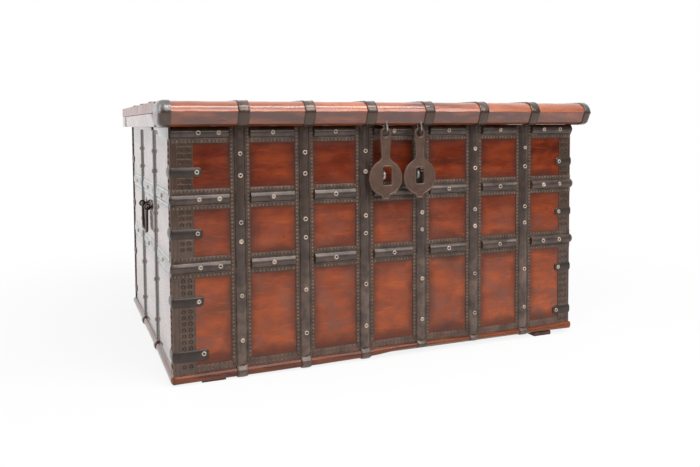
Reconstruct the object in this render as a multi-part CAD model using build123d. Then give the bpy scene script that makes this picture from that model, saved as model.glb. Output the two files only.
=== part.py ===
"""Iron-bound plank chest with a bullnosed lid, two hanging hasps and a drop handle on each end.

Frame: +Z up, Z = 0 on the floor, +X along the front to the right, +Y from the front to the back.
The origin is under the middle of the chest's overall box. All sizes are in millimetres.
"""

import os
from math import sqrt

from build123d import *

# ---- box ---------------------------------------------------------------------------------
box_width = 1170.0  # over the end boards
box_depth = 850.0  # over the front and back boards
box_top = 625.0  # height of the walls' top edge above the floor
board_thickness = 22.0
wall_board_count = 3
floor_thickness = 20.0
floor_board_count = 4
corner_post_size = 38.0
corner_post_drop = 12.0  # post tops below the walls' top edge

# ---- base --------------------------------------------------------------------------------
bearer_height = 12.0
bearer_width = 60.0
bearer_inset = 96.0  # its middle inside the box's end
bearer_setback = 6.0  # bearer ends behind the moulding's nose
moulding_height = 22.0
moulding_proud = 9.0  # nose in front of the boards
moulding_width = 60.0  # nose to inner edge

# ---- lid ---------------------------------------------------------------------------------
lid_board_thickness = 28.0
lid_rail_height = 33.0
lid_overhang_front = 59.0
lid_overhang_end = 31.0
lid_seat_gap = 0.4  # between the closed lid's rails and the walls
lid_board_count = 4
rear_board_depth = 128.0  # fixed board behind the hinge line
hinge_line_gap = 3.0
nosing_depth = 88.0  # front to back
nosing_end_bevel = 12.0
rail_width = 53.0
rail_heel_radius = 14.0
batten_width = 45.0
batten_height = 20.0
batten_centre = 292.0
batten_end_gap = 30.0

# ---- iron straps -------------------------------------------------------------------------
front_bays = 7
side_bays = 3
strap_width = 52.0  # flange, edge to edge
flange_thickness = 2.0
lap_thickness = 1.0  # what is left of a strap where another crosses over it
crown_width = 28.0
crown_height = 7.5  # half-round crown above the flange
upper_band_height = 450.0
lower_band_height = 285.0
foot_strip_height = 20.0
strap_tuck = 16.0  # strap end turned under the moulding
side_strap_drop = 8.0  # side straps' tops below the walls' top edge
top_return_length = 420.0
top_return_depth = 29.0
lid_strap_width = 28.0
lid_strap_thickness = 3.0
lid_strap_tuck = 14.0  # strap end turned under the nosing
lid_band_count = 3
cap_width = 27.0  # iron cap round each end of the nosing
cap_thickness = 2.0

# ---- corner irons ------------------------------------------------------------------------
corner_plate_left = 54.0  # width on the front, at the left corner
corner_plate_right = 41.0
corner_plate_return = 30.0  # width on the end
upper_clasp_share = 0.41  # of the way from the upper band to the top band
clasp_under_lower_band = 84.0
clasp_height = 24.0
clasp_left = 74.0  # reach along the front, at the left corner
clasp_right = 54.0
clasp_return = 46.0  # reach along the end
clasp_thickness = 3.0
foot_clasp_rise = 38.0  # its middle above the moulding
foot_clasp_left = 84.0
foot_clasp_right = 60.0

# ---- nails -------------------------------------------------------------------------------
nail_radius = 6.0
nail_facets = 6
nail_taper = 30.0  # degrees, sides of the head
nail_height = 2.2
nail_below_top_band = 52.0
nail_above_upper_band = 55.0
nail_below_upper_band = 61.0
nail_above_lower_band = 57.0
nail_below_lower_band = 78.0
nail_above_moulding = 61.0
end_bay_nails_left = (66.0, 115.0)  # from the left corner
end_bay_nails_right = (44.0, 101.0)
clasp_nail_inset = 12.0

# ---- hasps and their staples -------------------------------------------------------------
hasp_pitch = 100.0
hanger_beside_strap = 5.0  # right hanger's wire clear of the lid strap right of the middle
hasp_disc_radius = 48.0
hasp_thickness = 4.5
hasp_slot_width = 26.0
hasp_slot_height = 48.0
hasp_slot_corner = 4.0
hasp_shank_top = 31.0
hasp_neck = 27.0
hasp_eye_radius = 17.0
hasp_eye_hole = 9.0
hasp_length = 116.0  # eye's centre to disc's centre
hasp_lip_width = 22.0
hasp_lip_height = 9.0
hanger_setout = 36.0  # hanger's ring centre in front of the box
hanger_drop = 5.4  # ring centre below the lid rail
hanger_radius = 10.0  # to the middle of the wire
hanger_wire = 2.5
hanger_leg = 22.0  # leg above the ring's centre
hang_gap = 0.3
staple_height = 495.0
staple_radius = 10.5  # to the middle of the wire
staple_wire = 3.5
staple_reach = 32.0  # tip in front of the boards
staple_bite = 18.0  # legs inside the boards
drill_clearance = 0.1
bar_sides = 6  # forged bar that hangers, staples and drop handles are bent from

# ---- end handles -------------------------------------------------------------------------
handle_below_band = 52.0  # pivot below the upper band's middle
handle_eye_pitch = 122.0
handle_bar = 4.5
handle_drop = 74.0
handle_leg_inset = 14.0  # leg's middle inside the eye's middle
handle_leg_splay = 7.0
handle_corner = 14.0
handle_pin_overrun = 9.0
eye_radius = 10.0
eye_width = 8.0
eye_clearance = 0.3
eye_shank = 6.0  # square, side to side
eye_sides = 8
rosette_sides = 12
rosette_radius = 16.0
rosette_thickness = 2.0

# ---- hinges ------------------------------------------------------------------------------
hinge_bays = (-2, 2)  # in bays from the middle one
hinge_leaf_width = 42.0
hinge_leaf_thickness = 3.0
hinge_lid_reach = 135.0
hinge_tail_drop = 96.0
knuckle_radius = 6.0
knuckle_lift = 0.5  # knuckle clear of the boards
knuckle_gap = 0.4
pin_radius = 3.2
pin_clearance = 0.06
pin_head_radius = 4.6
pin_head_thickness = 2.0

# ---- places worked out from the sizes above ----------------------------------------------
front_reach = lid_overhang_front + lid_strap_thickness
rear_reach = max(hinge_leaf_thickness, clasp_thickness)
box_front = (front_reach - box_depth - rear_reach) / 2
box_back = box_front + box_depth
box_side = box_width / 2
moulding_top = bearer_height + moulding_height
lid_rail_bottom = box_top + lid_seat_gap
lid_board_bottom = lid_rail_bottom + lid_rail_height
lid_top = lid_board_bottom + lid_board_thickness
lid_side = box_side + lid_overhang_end
nose_front = box_front - lid_overhang_front
nose_radius = (lid_top - lid_rail_bottom) / 2
nose_centre_y = nose_front + nose_radius
nose_centre_z = lid_rail_bottom + nose_radius
nosing_back = nose_front + nosing_depth
hinge_line = box_back - rear_board_depth - hinge_line_gap / 2
lid_back = hinge_line - hinge_line_gap / 2
rear_front = hinge_line + hinge_line_gap / 2
hinge_tip = hinge_line - hinge_lid_reach
lid_band_pitch = (hinge_tip - nosing_back) / lid_band_count
lid_band_places = [nosing_back + lid_band_pitch * (n + 0.5) for n in range(lid_band_count)]
lid_band_thickness = lid_strap_thickness - lap_thickness
strap_pitch = box_width / front_bays
strap_places = [-box_side + strap_pitch * n for n in range(1, front_bays)]
side_strap_places = [box_front + box_depth * n / side_bays for n in range(1, side_bays)]
top_band_height = box_top - crown_width / 2
crown_top = flange_thickness + crown_height
hinge_axis_height = lid_top + knuckle_lift + knuckle_radius
strap_right_of_middle = strap_places[front_bays // 2]
right_hasp_x = strap_right_of_middle - lid_strap_width / 2 - hanger_wire - hanger_beside_strap
hasp_places = [right_hasp_x - hasp_pitch, right_hasp_x]
ring_y = box_front - hanger_setout
ring_z = lid_rail_bottom - hanger_drop
ring_inside = hanger_radius - hanger_wire
hasp_eye_z = ring_z - sqrt(ring_inside**2 - (hasp_thickness / 2) ** 2) + hang_gap - hasp_eye_hole
hasp_disc_z = hasp_eye_z - hasp_length
handle_pivot_x = box_side + rosette_thickness + eye_radius
handle_middle = (box_front + box_back) / 2
handle_height = upper_band_height - handle_below_band
bearer_centre = box_side - bearer_inset
clasp_heights = (
    upper_band_height + (top_band_height - upper_band_height) * upper_clasp_share,
    (upper_band_height + lower_band_height) / 2,
    lower_band_height - clasp_under_lower_band,
)
strap_nail_heights = (
    top_band_height - nail_below_top_band,
    upper_band_height + nail_above_upper_band,
    upper_band_height - nail_below_upper_band,
    lower_band_height + nail_above_lower_band,
    lower_band_height - nail_below_lower_band,
    moulding_top + nail_above_moulding,
)

front_face = Plane(origin=(0, box_front, 0), x_dir=(1, 0, 0), z_dir=(0, -1, 0))
right_face = Plane(origin=(box_side, 0, 0), x_dir=(0, 1, 0), z_dir=(1, 0, 0))
lid_face = Plane(origin=(0, 0, lid_top), x_dir=(1, 0, 0), z_dir=(0, 0, 1))
FAR = 60.0  # how far a cutting block runs past what it cuts
NEAR = 0.01  # how close two places are taken to be the same


# ---- small tools -------------------------------------------------------------------------
def block(x0, x1, y0, y1, z0, z1):
    """A box from its lowest to its highest corner."""
    return Pos((x0 + x1) / 2, (y0 + y1) / 2, (z0 + z1) / 2) * Box(x1 - x0, y1 - y0, z1 - z0)


def to_left(shape):
    """The same piece on the other end of the chest."""
    return mirror(shape, about=Plane.YZ)


def to_back(shape):
    """The same piece at the back of the box."""
    middle = Plane(origin=(0, (box_front + box_back) / 2, 0), z_dir=(0, 1, 0))
    return mirror(shape, about=middle)


def yz_prism(face_edges, x0, x1):
    """Extrudes a closed outline, drawn in (Y, Z), from x0 to x1."""
    outline = Plane(origin=(x0, 0, 0), x_dir=(0, 1, 0), z_dir=(1, 0, 0)) * make_face(face_edges)
    return extrude(outline, x1 - x0)


def save(name, *pieces):
    """Writes one node: every piece in it stays a separate solid."""
    solids = [s for piece in pieces for s in piece.solids()]
    export_step(Compound(solids), f"parts/{name}.step")


def planks(count, x0, x1, y0, y1, z0, z1, along):
    """Equal planks side by side that fill a box, stacked along one axis."""
    low, high = {"x": (x0, x1), "y": (y0, y1), "z": (z0, z1)}[along]
    step = (high - low) / count
    made = []
    for n in range(count):
        limits = {"x": (x0, x1), "y": (y0, y1), "z": (z0, z1)}
        limits[along] = (low + step * n, low + step * (n + 1))
        made.append(block(*limits["x"], *limits["y"], *limits["z"]))
    return made


# ---- straps ------------------------------------------------------------------------------
def strap(start, end, crossed_at=(), notches=(), mitre_start=False, mitre_end=False):
    """A half-round strap on the local XY plane, along X, with its crown towards +Z.

    crossed_at lists where another strap passes over it and it is hammered flat. notches lists
    (place, width) where it passes over a thin piece. A mitred end turns a corner of the box.
    """
    low = start - (crown_top if mitre_start else 0)
    high = end + (crown_top if mitre_end else 0)
    half = strap_width / 2
    crown = make_face(
        [
            ThreePointArc(
                (-crown_width / 2, flange_thickness),
                (0, crown_top),
                (crown_width / 2, flange_thickness),
            ),
            Line((crown_width / 2, flange_thickness), (-crown_width / 2, flange_thickness)),
        ]
    )
    section = Plane(origin=(low, 0, 0), x_dir=(0, 1, 0), z_dir=(1, 0, 0))
    made = block(low, high, -half, half, 0, flange_thickness) + extrude(section * crown, high - low)
    cuts = [block(x - half, x + half, -FAR, FAR, lap_thickness, FAR) for x in crossed_at]
    cuts += [block(x - w / 2, x + w / 2, -FAR, FAR, -FAR, lap_thickness) for x, w in notches]
    for mitred, place, way in ((mitre_start, start, -1), (mitre_end, end, 1)):
        if mitred:
            wedge = Polyline((place, 0), (place + way * FAR, 0), (place + way * FAR, FAR), close=True)
            side = Plane(origin=(0, FAR, 0), x_dir=(1, 0, 0), z_dir=(0, -1, 0))
            cuts.append(extrude(side * make_face(wedge), 2 * FAR))
    return made - cuts if cuts else made


def nose_path(inset, proud):
    """Points of a way round the base moulding's nose, as (distance out of the box, height).

    inset is how far the path runs back under the moulding, and proud its distance from the wood.
    """
    radius = moulding_height / 2 + proud
    centre = moulding_proud - moulding_height / 2
    middle = bearer_height + moulding_height / 2
    return [
        (centre - inset, bearer_height - proud),
        (centre, bearer_height - proud),
        (centre + radius, middle),
        (centre, moulding_top + proud),
    ]


def strap_foot(half_width):
    """The lower end of a strap, bent round the moulding's nose, on a face plane at x = 0."""
    outer = nose_path(strap_tuck, flange_thickness)
    inner = nose_path(strap_tuck, 0)
    edges = [
        Line(inner[0], outer[0]),
        Line(outer[0], outer[1]),
        ThreePointArc(outer[1], outer[2], outer[3]),
        Line(outer[3], inner[3]),
        ThreePointArc(inner[3], inner[2], inner[1]),
        Line(inner[1], inner[0]),
    ]
    side = Plane(origin=(half_width, 0, 0), x_dir=(0, 0, 1), z_dir=(-1, 0, 0))
    foot = extrude(side * make_face(edges), 2 * half_width)
    inside_box = block(-FAR, FAR, moulding_top, moulding_top + FAR, -FAR, 0)
    return foot - inside_box


def standing_strap(place, top, crossings):
    """A vertical strap on a face plane, from the moulding up, with its foot round the nose."""
    notches = [(height, strap_width) for height in crossings]
    body = Pos(place, 0, 0) * Rot(0, 0, 90) * strap(moulding_top, top, notches=notches)
    body += Pos(place, 0, 0) * strap_foot(crown_width / 2)
    strip_top = moulding_top + foot_strip_height
    return body - block(place - FAR, place + FAR, moulding_top, strip_top, -FAR, lap_thickness)


def nail(x, y, lift):
    """A forged nail's faceted head on a face plane."""
    head = extrude(RegularPolygon(nail_radius, nail_facets), nail_height, taper=nail_taper)
    return Pos(x, y, lift) * head


# ---- holes drilled through the boards for forged pieces ----------------------------------
def staple_holes():
    """Holes in the front for both legs of both hasp staples."""
    leg_hole = RegularPolygon(staple_wire + drill_clearance, bar_sides)
    drill = extrude(leg_hole, staple_bite + drill_clearance + FAR)
    heights = (staple_height - staple_radius, staple_height + staple_radius)
    start = front_face * Pos(0, 0, -staple_bite - drill_clearance)
    return [start * Pos(x, z, 0) * drill for x in hasp_places for z in heights]


def handle_holes():
    """Holes in the right end for the shanks of the two handle eyes."""
    side = eye_shank + 2 * drill_clearance
    depth = staple_bite + drill_clearance
    drill = Pos(0, 0, -depth / 2) * Box(side, side, depth)
    half = handle_eye_pitch / 2
    places = (handle_middle - half, handle_middle + half)
    return [right_face * Pos(y, handle_height, 0) * drill for y in places]


# ---- walls and floor ---------------------------------------------------------------------
def walls():
    """Front and back boards run the full width, and the end boards stand between them."""
    inner = board_thickness
    front = (-box_side, box_side, box_front, box_front + inner, moulding_top, box_top)
    end = (box_side - inner, box_side, box_front + inner, box_back - inner, moulding_top, box_top)
    front_boards = planks(wall_board_count, *front, along="z")
    holes = handle_holes()
    right_boards = [board - holes for board in planks(wall_board_count, *end, along="z")]
    drills = staple_holes()
    save("front_boards", *[board - drills for board in front_boards])
    save("back_boards", *[to_back(board) for board in front_boards])
    save("right_end_boards", *right_boards)
    save("left_end_boards", *[to_left(board) for board in right_boards])


def floor_and_posts():
    """Floor boards lie on the base frame inside the walls, and a post stands in each corner."""
    x = box_side - board_thickness
    y0 = box_front + board_thickness
    y1 = box_back - board_thickness
    floor_top = moulding_top + floor_thickness
    save("floor_boards", *planks(floor_board_count, -x, x, y0, y1, moulding_top, floor_top, "y"))
    size = corner_post_size
    post = block(x - size, x, y0, y0 + size, floor_top, box_top - corner_post_drop)
    posts = [post, to_left(post), to_back(post), to_left(to_back(post))]
    save("corner_posts", *posts)


# ---- base --------------------------------------------------------------------------------
def moulding_outline():
    """Section of the base moulding as (distance out of the box, height)."""
    back, start, nose, end = nose_path(moulding_width - moulding_height / 2, 0)
    top_back = (back[0], moulding_top)
    return [
        Line(back, start),
        ThreePointArc(start, nose, end),
        Line(end, top_back),
        Line(top_back, back),
    ]


def moulding(face, start, end, mitre_start, mitre_end):
    """A base moulding along a face plane, mitred round the box's corner where asked."""
    low = start - (moulding_proud if mitre_start else 0)
    high = end + (moulding_proud if mitre_end else 0)
    section = Plane(origin=(low, 0, 0), x_dir=(0, 0, 1), z_dir=(-1, 0, 0))
    made = extrude(section * make_face(moulding_outline()), -(high - low))
    middle = bearer_height + moulding_height / 2
    for mitred, place, way in ((mitre_start, start, -1), (mitre_end, end, 1)):
        if mitred:
            out = 2 * FAR
            corners = [(place - way * out, -out), (place + way * out, out), (place + way * out, -out)]
            wedge = make_face(Polyline(*corners, close=True))
            side = Plane(origin=(0, middle + FAR, 0), x_dir=(1, 0, 0), z_dir=(0, -1, 0))
            made -= extrude(side * wedge, 2 * FAR)
    return face * made


def base():
    """Three rounded mouldings and a plain back sill, lying on two bearers."""
    right = moulding(right_face, box_front, box_back, True, False)
    save("front_moulding", moulding(front_face, -box_side, box_side, True, True))
    save("right_moulding", right)
    save("left_moulding", to_left(right))
    sill_end = box_side + moulding_proud - moulding_width
    sill_front = box_back + moulding_proud - moulding_width
    save("back_sill", block(-sill_end, sill_end, sill_front, box_back, bearer_height, moulding_top))
    half = bearer_width / 2
    front = box_front - moulding_proud + bearer_setback
    bearer = block(bearer_centre - half, bearer_centre + half, front, box_back, 0, bearer_height)
    save("right_bearer", bearer)
    save("left_bearer", to_left(bearer))


# ---- lid and the fixed board behind it ---------------------------------------------------
def nose_outline(proud, back):
    """The nosing's section, or a wrapper's outer line, as (Y, Z) edges: a half round in front."""
    radius = nose_radius + proud
    low = (nose_centre_y, nose_centre_z - radius)
    tip = (nose_centre_y - radius, nose_centre_z)
    high = (nose_centre_y, nose_centre_z + radius)
    return [
        Line((back, low[1]), low),
        ThreePointArc(low, tip, high),
        Line(high, (back, high[1])),
        Line((back, high[1]), (back, low[1])),
    ]


def bevelled_ends(shape, reach, bevel):
    """Bevels the edges round both ends of the nosing, all but the one at its back."""
    ends = shape.edges().filter_by(lambda e: abs(abs(e.center().X) - reach) < NEAR)
    return chamfer(ends.filter_by(lambda e: e.center().Y < nosing_back - NEAR), bevel)


def nosing():
    """The bullnosed front of the lid, drilled for the two hasp hangers."""
    solid = yz_prism(nose_outline(0, nosing_back), -lid_side, lid_side)
    solid = bevelled_ends(solid, lid_side, nosing_end_bevel)
    leg_hole = RegularPolygon(hanger_wire + drill_clearance, bar_sides)
    drill = extrude(leg_hole, hanger_leg + drill_clearance)
    for x in hasp_places:
        for way in (-1, 1):
            solid -= Pos(x, ring_y + way * hanger_radius, ring_z) * drill
    return solid


def nosing_cap():
    """The iron cap over the nosing's right end."""
    reach = lid_side + cap_thickness
    outer = yz_prism(nose_outline(cap_thickness, nosing_back), -reach, reach)
    outer = bevelled_ends(outer, reach, nosing_end_bevel + cap_thickness)
    inner = yz_prism(nose_outline(0, nosing_back), -lid_side, lid_side)
    inner = bevelled_ends(inner, lid_side, nosing_end_bevel)
    rest = block(-reach, lid_side - cap_width, nose_front - FAR, nosing_back, 0, lid_top + FAR)
    return outer - inner - rest


def lid():
    """Nosing, end rails, top boards and battens of the lid, and the fixed board behind them."""
    wood = nosing()
    save("lid_nosing", wood)
    x0 = lid_side - rail_width
    heel = [(nosing_back, lid_rail_bottom), (lid_back - rail_heel_radius, lid_rail_bottom)]
    curve = RadiusArc(heel[1], (lid_back, lid_rail_bottom + rail_heel_radius), -rail_heel_radius)
    outline = [
        Line(*heel),
        curve,
        Line((lid_back, lid_rail_bottom + rail_heel_radius), (lid_back, lid_board_bottom)),
        Line((lid_back, lid_board_bottom), (nosing_back, lid_board_bottom)),
        Line((nosing_back, lid_board_bottom), heel[0]),
    ]
    rail = yz_prism(outline, x0, lid_side)
    save("right_lid_rail", rail)
    save("left_lid_rail", to_left(rail))
    top = (-lid_side, lid_side, nosing_back, lid_back, lid_board_bottom, lid_top)
    save("lid_boards", *planks(lid_board_count, *top, along="y"))
    y0 = nosing_back + batten_end_gap
    y1 = lid_back - batten_end_gap
    half = batten_width / 2
    low = lid_board_bottom - batten_height
    batten = block(batten_centre - half, batten_centre + half, y0, y1, low, lid_board_bottom)
    save("lid_battens", batten, to_left(batten))
    board = block(-lid_side, lid_side, rear_front, box_back, lid_board_bottom, lid_top)
    save("rear_top_board", board)
    end = block(x0, lid_side, rear_front, box_back, box_top, lid_board_bottom)
    rail = block(-x0, x0, box_back - board_thickness, box_back, box_top, lid_board_bottom)
    save("rear_rails", rail, end, to_left(end))


# ---- irons on the box --------------------------------------------------------------------
def corner_iron(front_reach, end_reach, thickness, low, high):
    """An iron bent round the front right corner of the box."""
    front = block(
        box_side - front_reach, box_side + thickness, box_front - thickness, box_front, low, high
    )
    end = block(
        box_side, box_side + thickness, box_front - thickness, box_front + end_reach, low, high
    )
    return front + end


def corner_plate(front_reach):
    """The thin embossed plate over the whole height of a corner."""
    return corner_iron(front_reach, corner_plate_return, lap_thickness, moulding_top, box_top)


def corner_clasps(front_reach, foot_reach, plate_reach):
    """The short straps that hold a corner together, over its plate."""
    half = clasp_height / 2
    heights = list(clasp_heights) + [moulding_top + foot_clasp_rise]
    reaches = [front_reach] * len(clasp_heights) + [foot_reach]
    plate = corner_plate(plate_reach)
    return [
        corner_iron(reach, clasp_return, clasp_thickness, height - half, height + half) - plate
        for height, reach in zip(heights, reaches)
    ]


def front_band(height, wraps=True):
    """A strap across the whole front at one height, under the six vertical straps."""
    under = [
        (-box_side + (corner_plate_left - FAR) / 2, corner_plate_left + FAR),
        (box_side - (corner_plate_right - FAR) / 2, corner_plate_right + FAR),
    ]
    band = strap(-box_side, box_side, strap_places, under, mitre_start=wraps, mitre_end=wraps)
    return front_face * Pos(0, height, 0) * band


def end_band(height):
    """A strap across the right end at one height."""
    under = [(box_front + (corner_plate_return - FAR) / 2, corner_plate_return + FAR)]
    band = strap(box_front, box_back - clasp_return, side_strap_places, under, mitre_start=True)
    return right_face * Pos(0, height, 0) * band


def top_gusset():
    """The curved iron under the lid, along the top of the right end's front half."""
    start = box_front
    far = box_front + top_return_length
    low = box_top - top_return_depth
    middle = (start + top_return_length * 0.55, box_top - top_return_depth * 0.62)
    outline = make_face(
        [
            Line((start, box_top), (start, low)),
            ThreePointArc((start, low), middle, (far, box_top)),
            Line((far, box_top), (start, box_top)),
        ]
    )
    gusset = right_face * extrude(outline, clasp_thickness) - corner_plate(corner_plate_right)
    half = strap_width / 2
    for place in side_strap_places:
        gusset -= block(box_side, box_side + FAR, place - half, place + half, 0, box_top)
    return gusset


def box_irons():
    """Every strap, plate and clasp on the box."""
    over_the_wall = block(-box_side, box_side, box_front - FAR, box_front, box_top, lid_top)
    save("front_top_band", front_band(top_band_height, wraps=False) - over_the_wall)
    drills = staple_holes()
    save("front_upper_band", front_band(upper_band_height) - drills)
    save("front_lower_band", front_band(lower_band_height) - drills)
    crossings = (top_band_height, upper_band_height, lower_band_height)
    for number, place in enumerate(strap_places, start=1):
        standing = front_face * standing_strap(place, box_top, crossings)
        save(f"front_strap_{number}", standing - drills)
    strip = block(
        -box_side + corner_plate_left,
        box_side - corner_plate_right,
        moulding_top,
        moulding_top + foot_strip_height,
        0,
        lap_thickness,
    )
    save("front_foot_strip", front_face * strip)

    bands = [end_band(height) for height in (upper_band_height, lower_band_height)]
    save("right_end_bands", *bands)
    save("left_end_bands", *[to_left(band) for band in bands])
    top = box_top - side_strap_drop
    straps = [
        right_face * standing_strap(place, top, crossings[1:]) for place in side_strap_places
    ]
    save("right_end_straps", *straps)
    save("left_end_straps", *[to_left(piece) for piece in straps])

    gusset = top_gusset()
    save("right_top_gusset", gusset)
    save("left_top_gusset", to_left(gusset))

    right_plate = corner_plate(corner_plate_right)
    left_plate = to_left(corner_plate(corner_plate_left))
    save("front_right_corner_plate", right_plate)
    save("front_left_corner_plate", left_plate)
    rear_plate = to_back(right_plate)
    save("rear_corner_plates", rear_plate, to_left(rear_plate))
    right_clasps = corner_clasps(clasp_right, foot_clasp_right, corner_plate_right)
    left_clasps = corner_clasps(clasp_left, foot_clasp_left, corner_plate_left)
    save("front_right_clasps", *right_clasps)
    save("front_left_clasps", *[to_left(clasp) for clasp in left_clasps])
    rear_clasps = [to_back(clasp) for clasp in right_clasps]
    save("rear_clasps", *rear_clasps, *[to_left(clasp) for clasp in rear_clasps])


# ---- irons on the lid --------------------------------------------------------------------
def lid_strap():
    """A strap over the lid at x = 0, round its nosing and tucked under it."""
    low, tuck_end = lid_rail_bottom - lid_strap_thickness, nose_centre_y + lid_strap_tuck
    half = lid_strap_width / 2
    outer = yz_prism(nose_outline(lid_strap_thickness, lid_back), -half, half)
    inner = yz_prism(nose_outline(0, lid_back), -half, half)
    under = block(-FAR, FAR, tuck_end, box_back, low - FAR, lid_rail_bottom)
    made = outer - inner - under
    for y in lid_band_places:
        crossing = (y - lid_strap_width / 2, y + lid_strap_width / 2)
        made -= block(-FAR, FAR, *crossing, lid_top, lid_top + lid_band_thickness)
    return made


def lid_irons():
    """Straps and bands of the lid, and the caps on its nosing."""
    one = lid_strap()
    save("lid_straps", *[Pos(x, 0, 0) * one for x in strap_places])
    half = lid_strap_width / 2
    high = lid_top + lid_band_thickness
    bands = [block(-lid_side, lid_side, y - half, y + half, lid_top, high) for y in lid_band_places]
    save("lid_bands", *bands)
    cap = nosing_cap()
    save("right_nosing_cap", cap)
    save("left_nosing_cap", to_left(cap))


# ---- hasps -------------------------------------------------------------------------------
def hasp():
    """A flat hasp: an eye, a tapered shank and a slotted disc with a turned-up finger lip."""
    base = Plane(origin=(0, hasp_thickness / 2, 0), x_dir=(1, 0, 0), z_dir=(0, -1, 0))
    neck_z = hasp_disc_z + sqrt(hasp_disc_radius**2 - (hasp_neck / 2) ** 2)
    eye_z = hasp_eye_z - sqrt(hasp_eye_radius**2 - (hasp_shank_top / 2) ** 2)
    shank = Polyline(
        (-hasp_neck / 2, neck_z - hasp_neck / 2),
        (hasp_neck / 2, neck_z - hasp_neck / 2),
        (hasp_shank_top / 2, eye_z),
        (-hasp_shank_top / 2, eye_z),
        close=True,
    )
    outline = Pos(0, hasp_disc_z) * Circle(hasp_disc_radius) + make_face(shank)
    outline += Pos(0, hasp_eye_z) * Circle(hasp_eye_radius)
    outline -= Pos(0, hasp_eye_z) * Circle(hasp_eye_hole)
    slot = chamfer(Rectangle(hasp_slot_width, hasp_slot_height).vertices(), hasp_slot_corner)
    outline -= Pos(0, hasp_disc_z) * slot
    plate = extrude(base * outline, hasp_thickness)
    lip = chamfer(Rectangle(hasp_lip_width, 2 * hasp_lip_height).vertices(), hasp_slot_corner)
    return plate + extrude(base * Pos(0, hasp_disc_z - hasp_disc_radius) * lip, hasp_thickness)


def half_ring(radius, bar, leg):
    """A staple in the YZ plane: a half ring below the origin and two legs above it."""
    start = Plane(origin=(0, -radius, 0), x_dir=(1, 0, 0), z_dir=(0, 0, 1))
    ring = revolve(start * RegularPolygon(bar, bar_sides), Axis.X, 180)
    post = extrude(RegularPolygon(bar, bar_sides), leg)
    return ring + Pos(0, -radius, 0) * post + Pos(0, radius, 0) * post


def hasps():
    """Two hasps, the hangers that carry them and the staples they close over."""
    hanger = half_ring(hanger_radius, hanger_wire, hanger_leg)
    save("hasp_hangers", *[Pos(x, ring_y, ring_z) * hanger for x in hasp_places])
    for name, x in zip(("left_hasp", "right_hasp"), hasp_places):
        save(name, Pos(x, ring_y, 0) * hasp())
    bend = staple_reach - staple_radius - staple_wire
    staple = Rot(-90, 0, 0) * half_ring(staple_radius, staple_wire, bend + staple_bite)
    staples = [Pos(x, box_front - bend, staple_height) * staple for x in hasp_places]
    save("hasp_staples", *staples)


# ---- end handles -------------------------------------------------------------------------
def handle():
    """The drop handle of the right end: a bent bar with a round pin at each end for its eye."""
    leg_y = handle_eye_pitch / 2 - handle_leg_inset
    low_y = leg_y - handle_leg_splay
    path = FilletPolyline(
        (0, -leg_y, 0),
        (0, -low_y, -handle_drop),
        (0, low_y, -handle_drop),
        (0, leg_y, 0),
        radius=handle_corner,
    )
    start = Plane(origin=path @ 0, x_dir=(1, 0, 0), z_dir=path % 0)
    bar = sweep(start * RegularPolygon(handle_bar, bar_sides), path=path)
    pin_reach = handle_eye_pitch / 2 + handle_pin_overrun - leg_y + handle_bar
    pin = Cylinder(handle_bar, pin_reach, align=(Align.CENTER, Align.CENTER, Align.MIN))
    for way in (-1, 1):
        bar += Pos(0, way * (leg_y - handle_bar), 0) * Rot(-90 * way, 0, 0) * pin
    return Pos(handle_pivot_x, handle_middle, handle_height) * bar


def handle_eye(y):
    """An eye with its square shank, and the rosette between it and the right end's boards."""
    section = Plane(origin=(0, -eye_width / 2, 0), x_dir=(1, 0, 0), z_dir=(0, 1, 0))
    half_turn = 180 / eye_sides
    outline = RegularPolygon(eye_radius, eye_sides, major_radius=False, rotation=half_turn)
    ring = extrude(section * outline, eye_width)
    hole = Rot(90, 0, 0) * Cylinder(handle_bar + eye_clearance, 2 * eye_width)
    reach = eye_radius + rosette_thickness + staple_bite
    shank = Pos(-reach / 2, 0, 0) * Box(reach, eye_shank, eye_shank)
    eye = Pos(handle_pivot_x, y, handle_height) * (ring + shank - hole)
    rosette = extrude(right_face * RegularPolygon(rosette_radius, rosette_sides), rosette_thickness)
    side = eye_shank + 2 * drill_clearance
    rosette = Pos(0, y, handle_height) * rosette
    rosette -= Pos(box_side, y, handle_height) * Box(FAR, side, side)
    return eye, rosette


def handles():
    """A drop handle, two eyes and two rosettes on each end."""
    bail = handle()
    save("right_handle", bail)
    save("left_handle", to_left(bail))
    eyes = []
    rosettes = []
    for way in (-1, 1):
        eye, rosette = handle_eye(handle_middle + way * handle_eye_pitch / 2)
        eyes += [eye, to_left(eye)]
        rosettes += [rosette, to_left(rosette)]
    save("handle_eyes", *eyes)
    save("handle_rosettes", *rosettes)


# ---- hinges ------------------------------------------------------------------------------
def knuckle(x0, x1):
    """A barrel round the hinge line, drilled for the pin."""
    barrel = Rot(0, 90, 0) * Cylinder(knuckle_radius, x1 - x0)
    return Pos((x0 + x1) / 2, hinge_line, hinge_axis_height) * barrel


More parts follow.
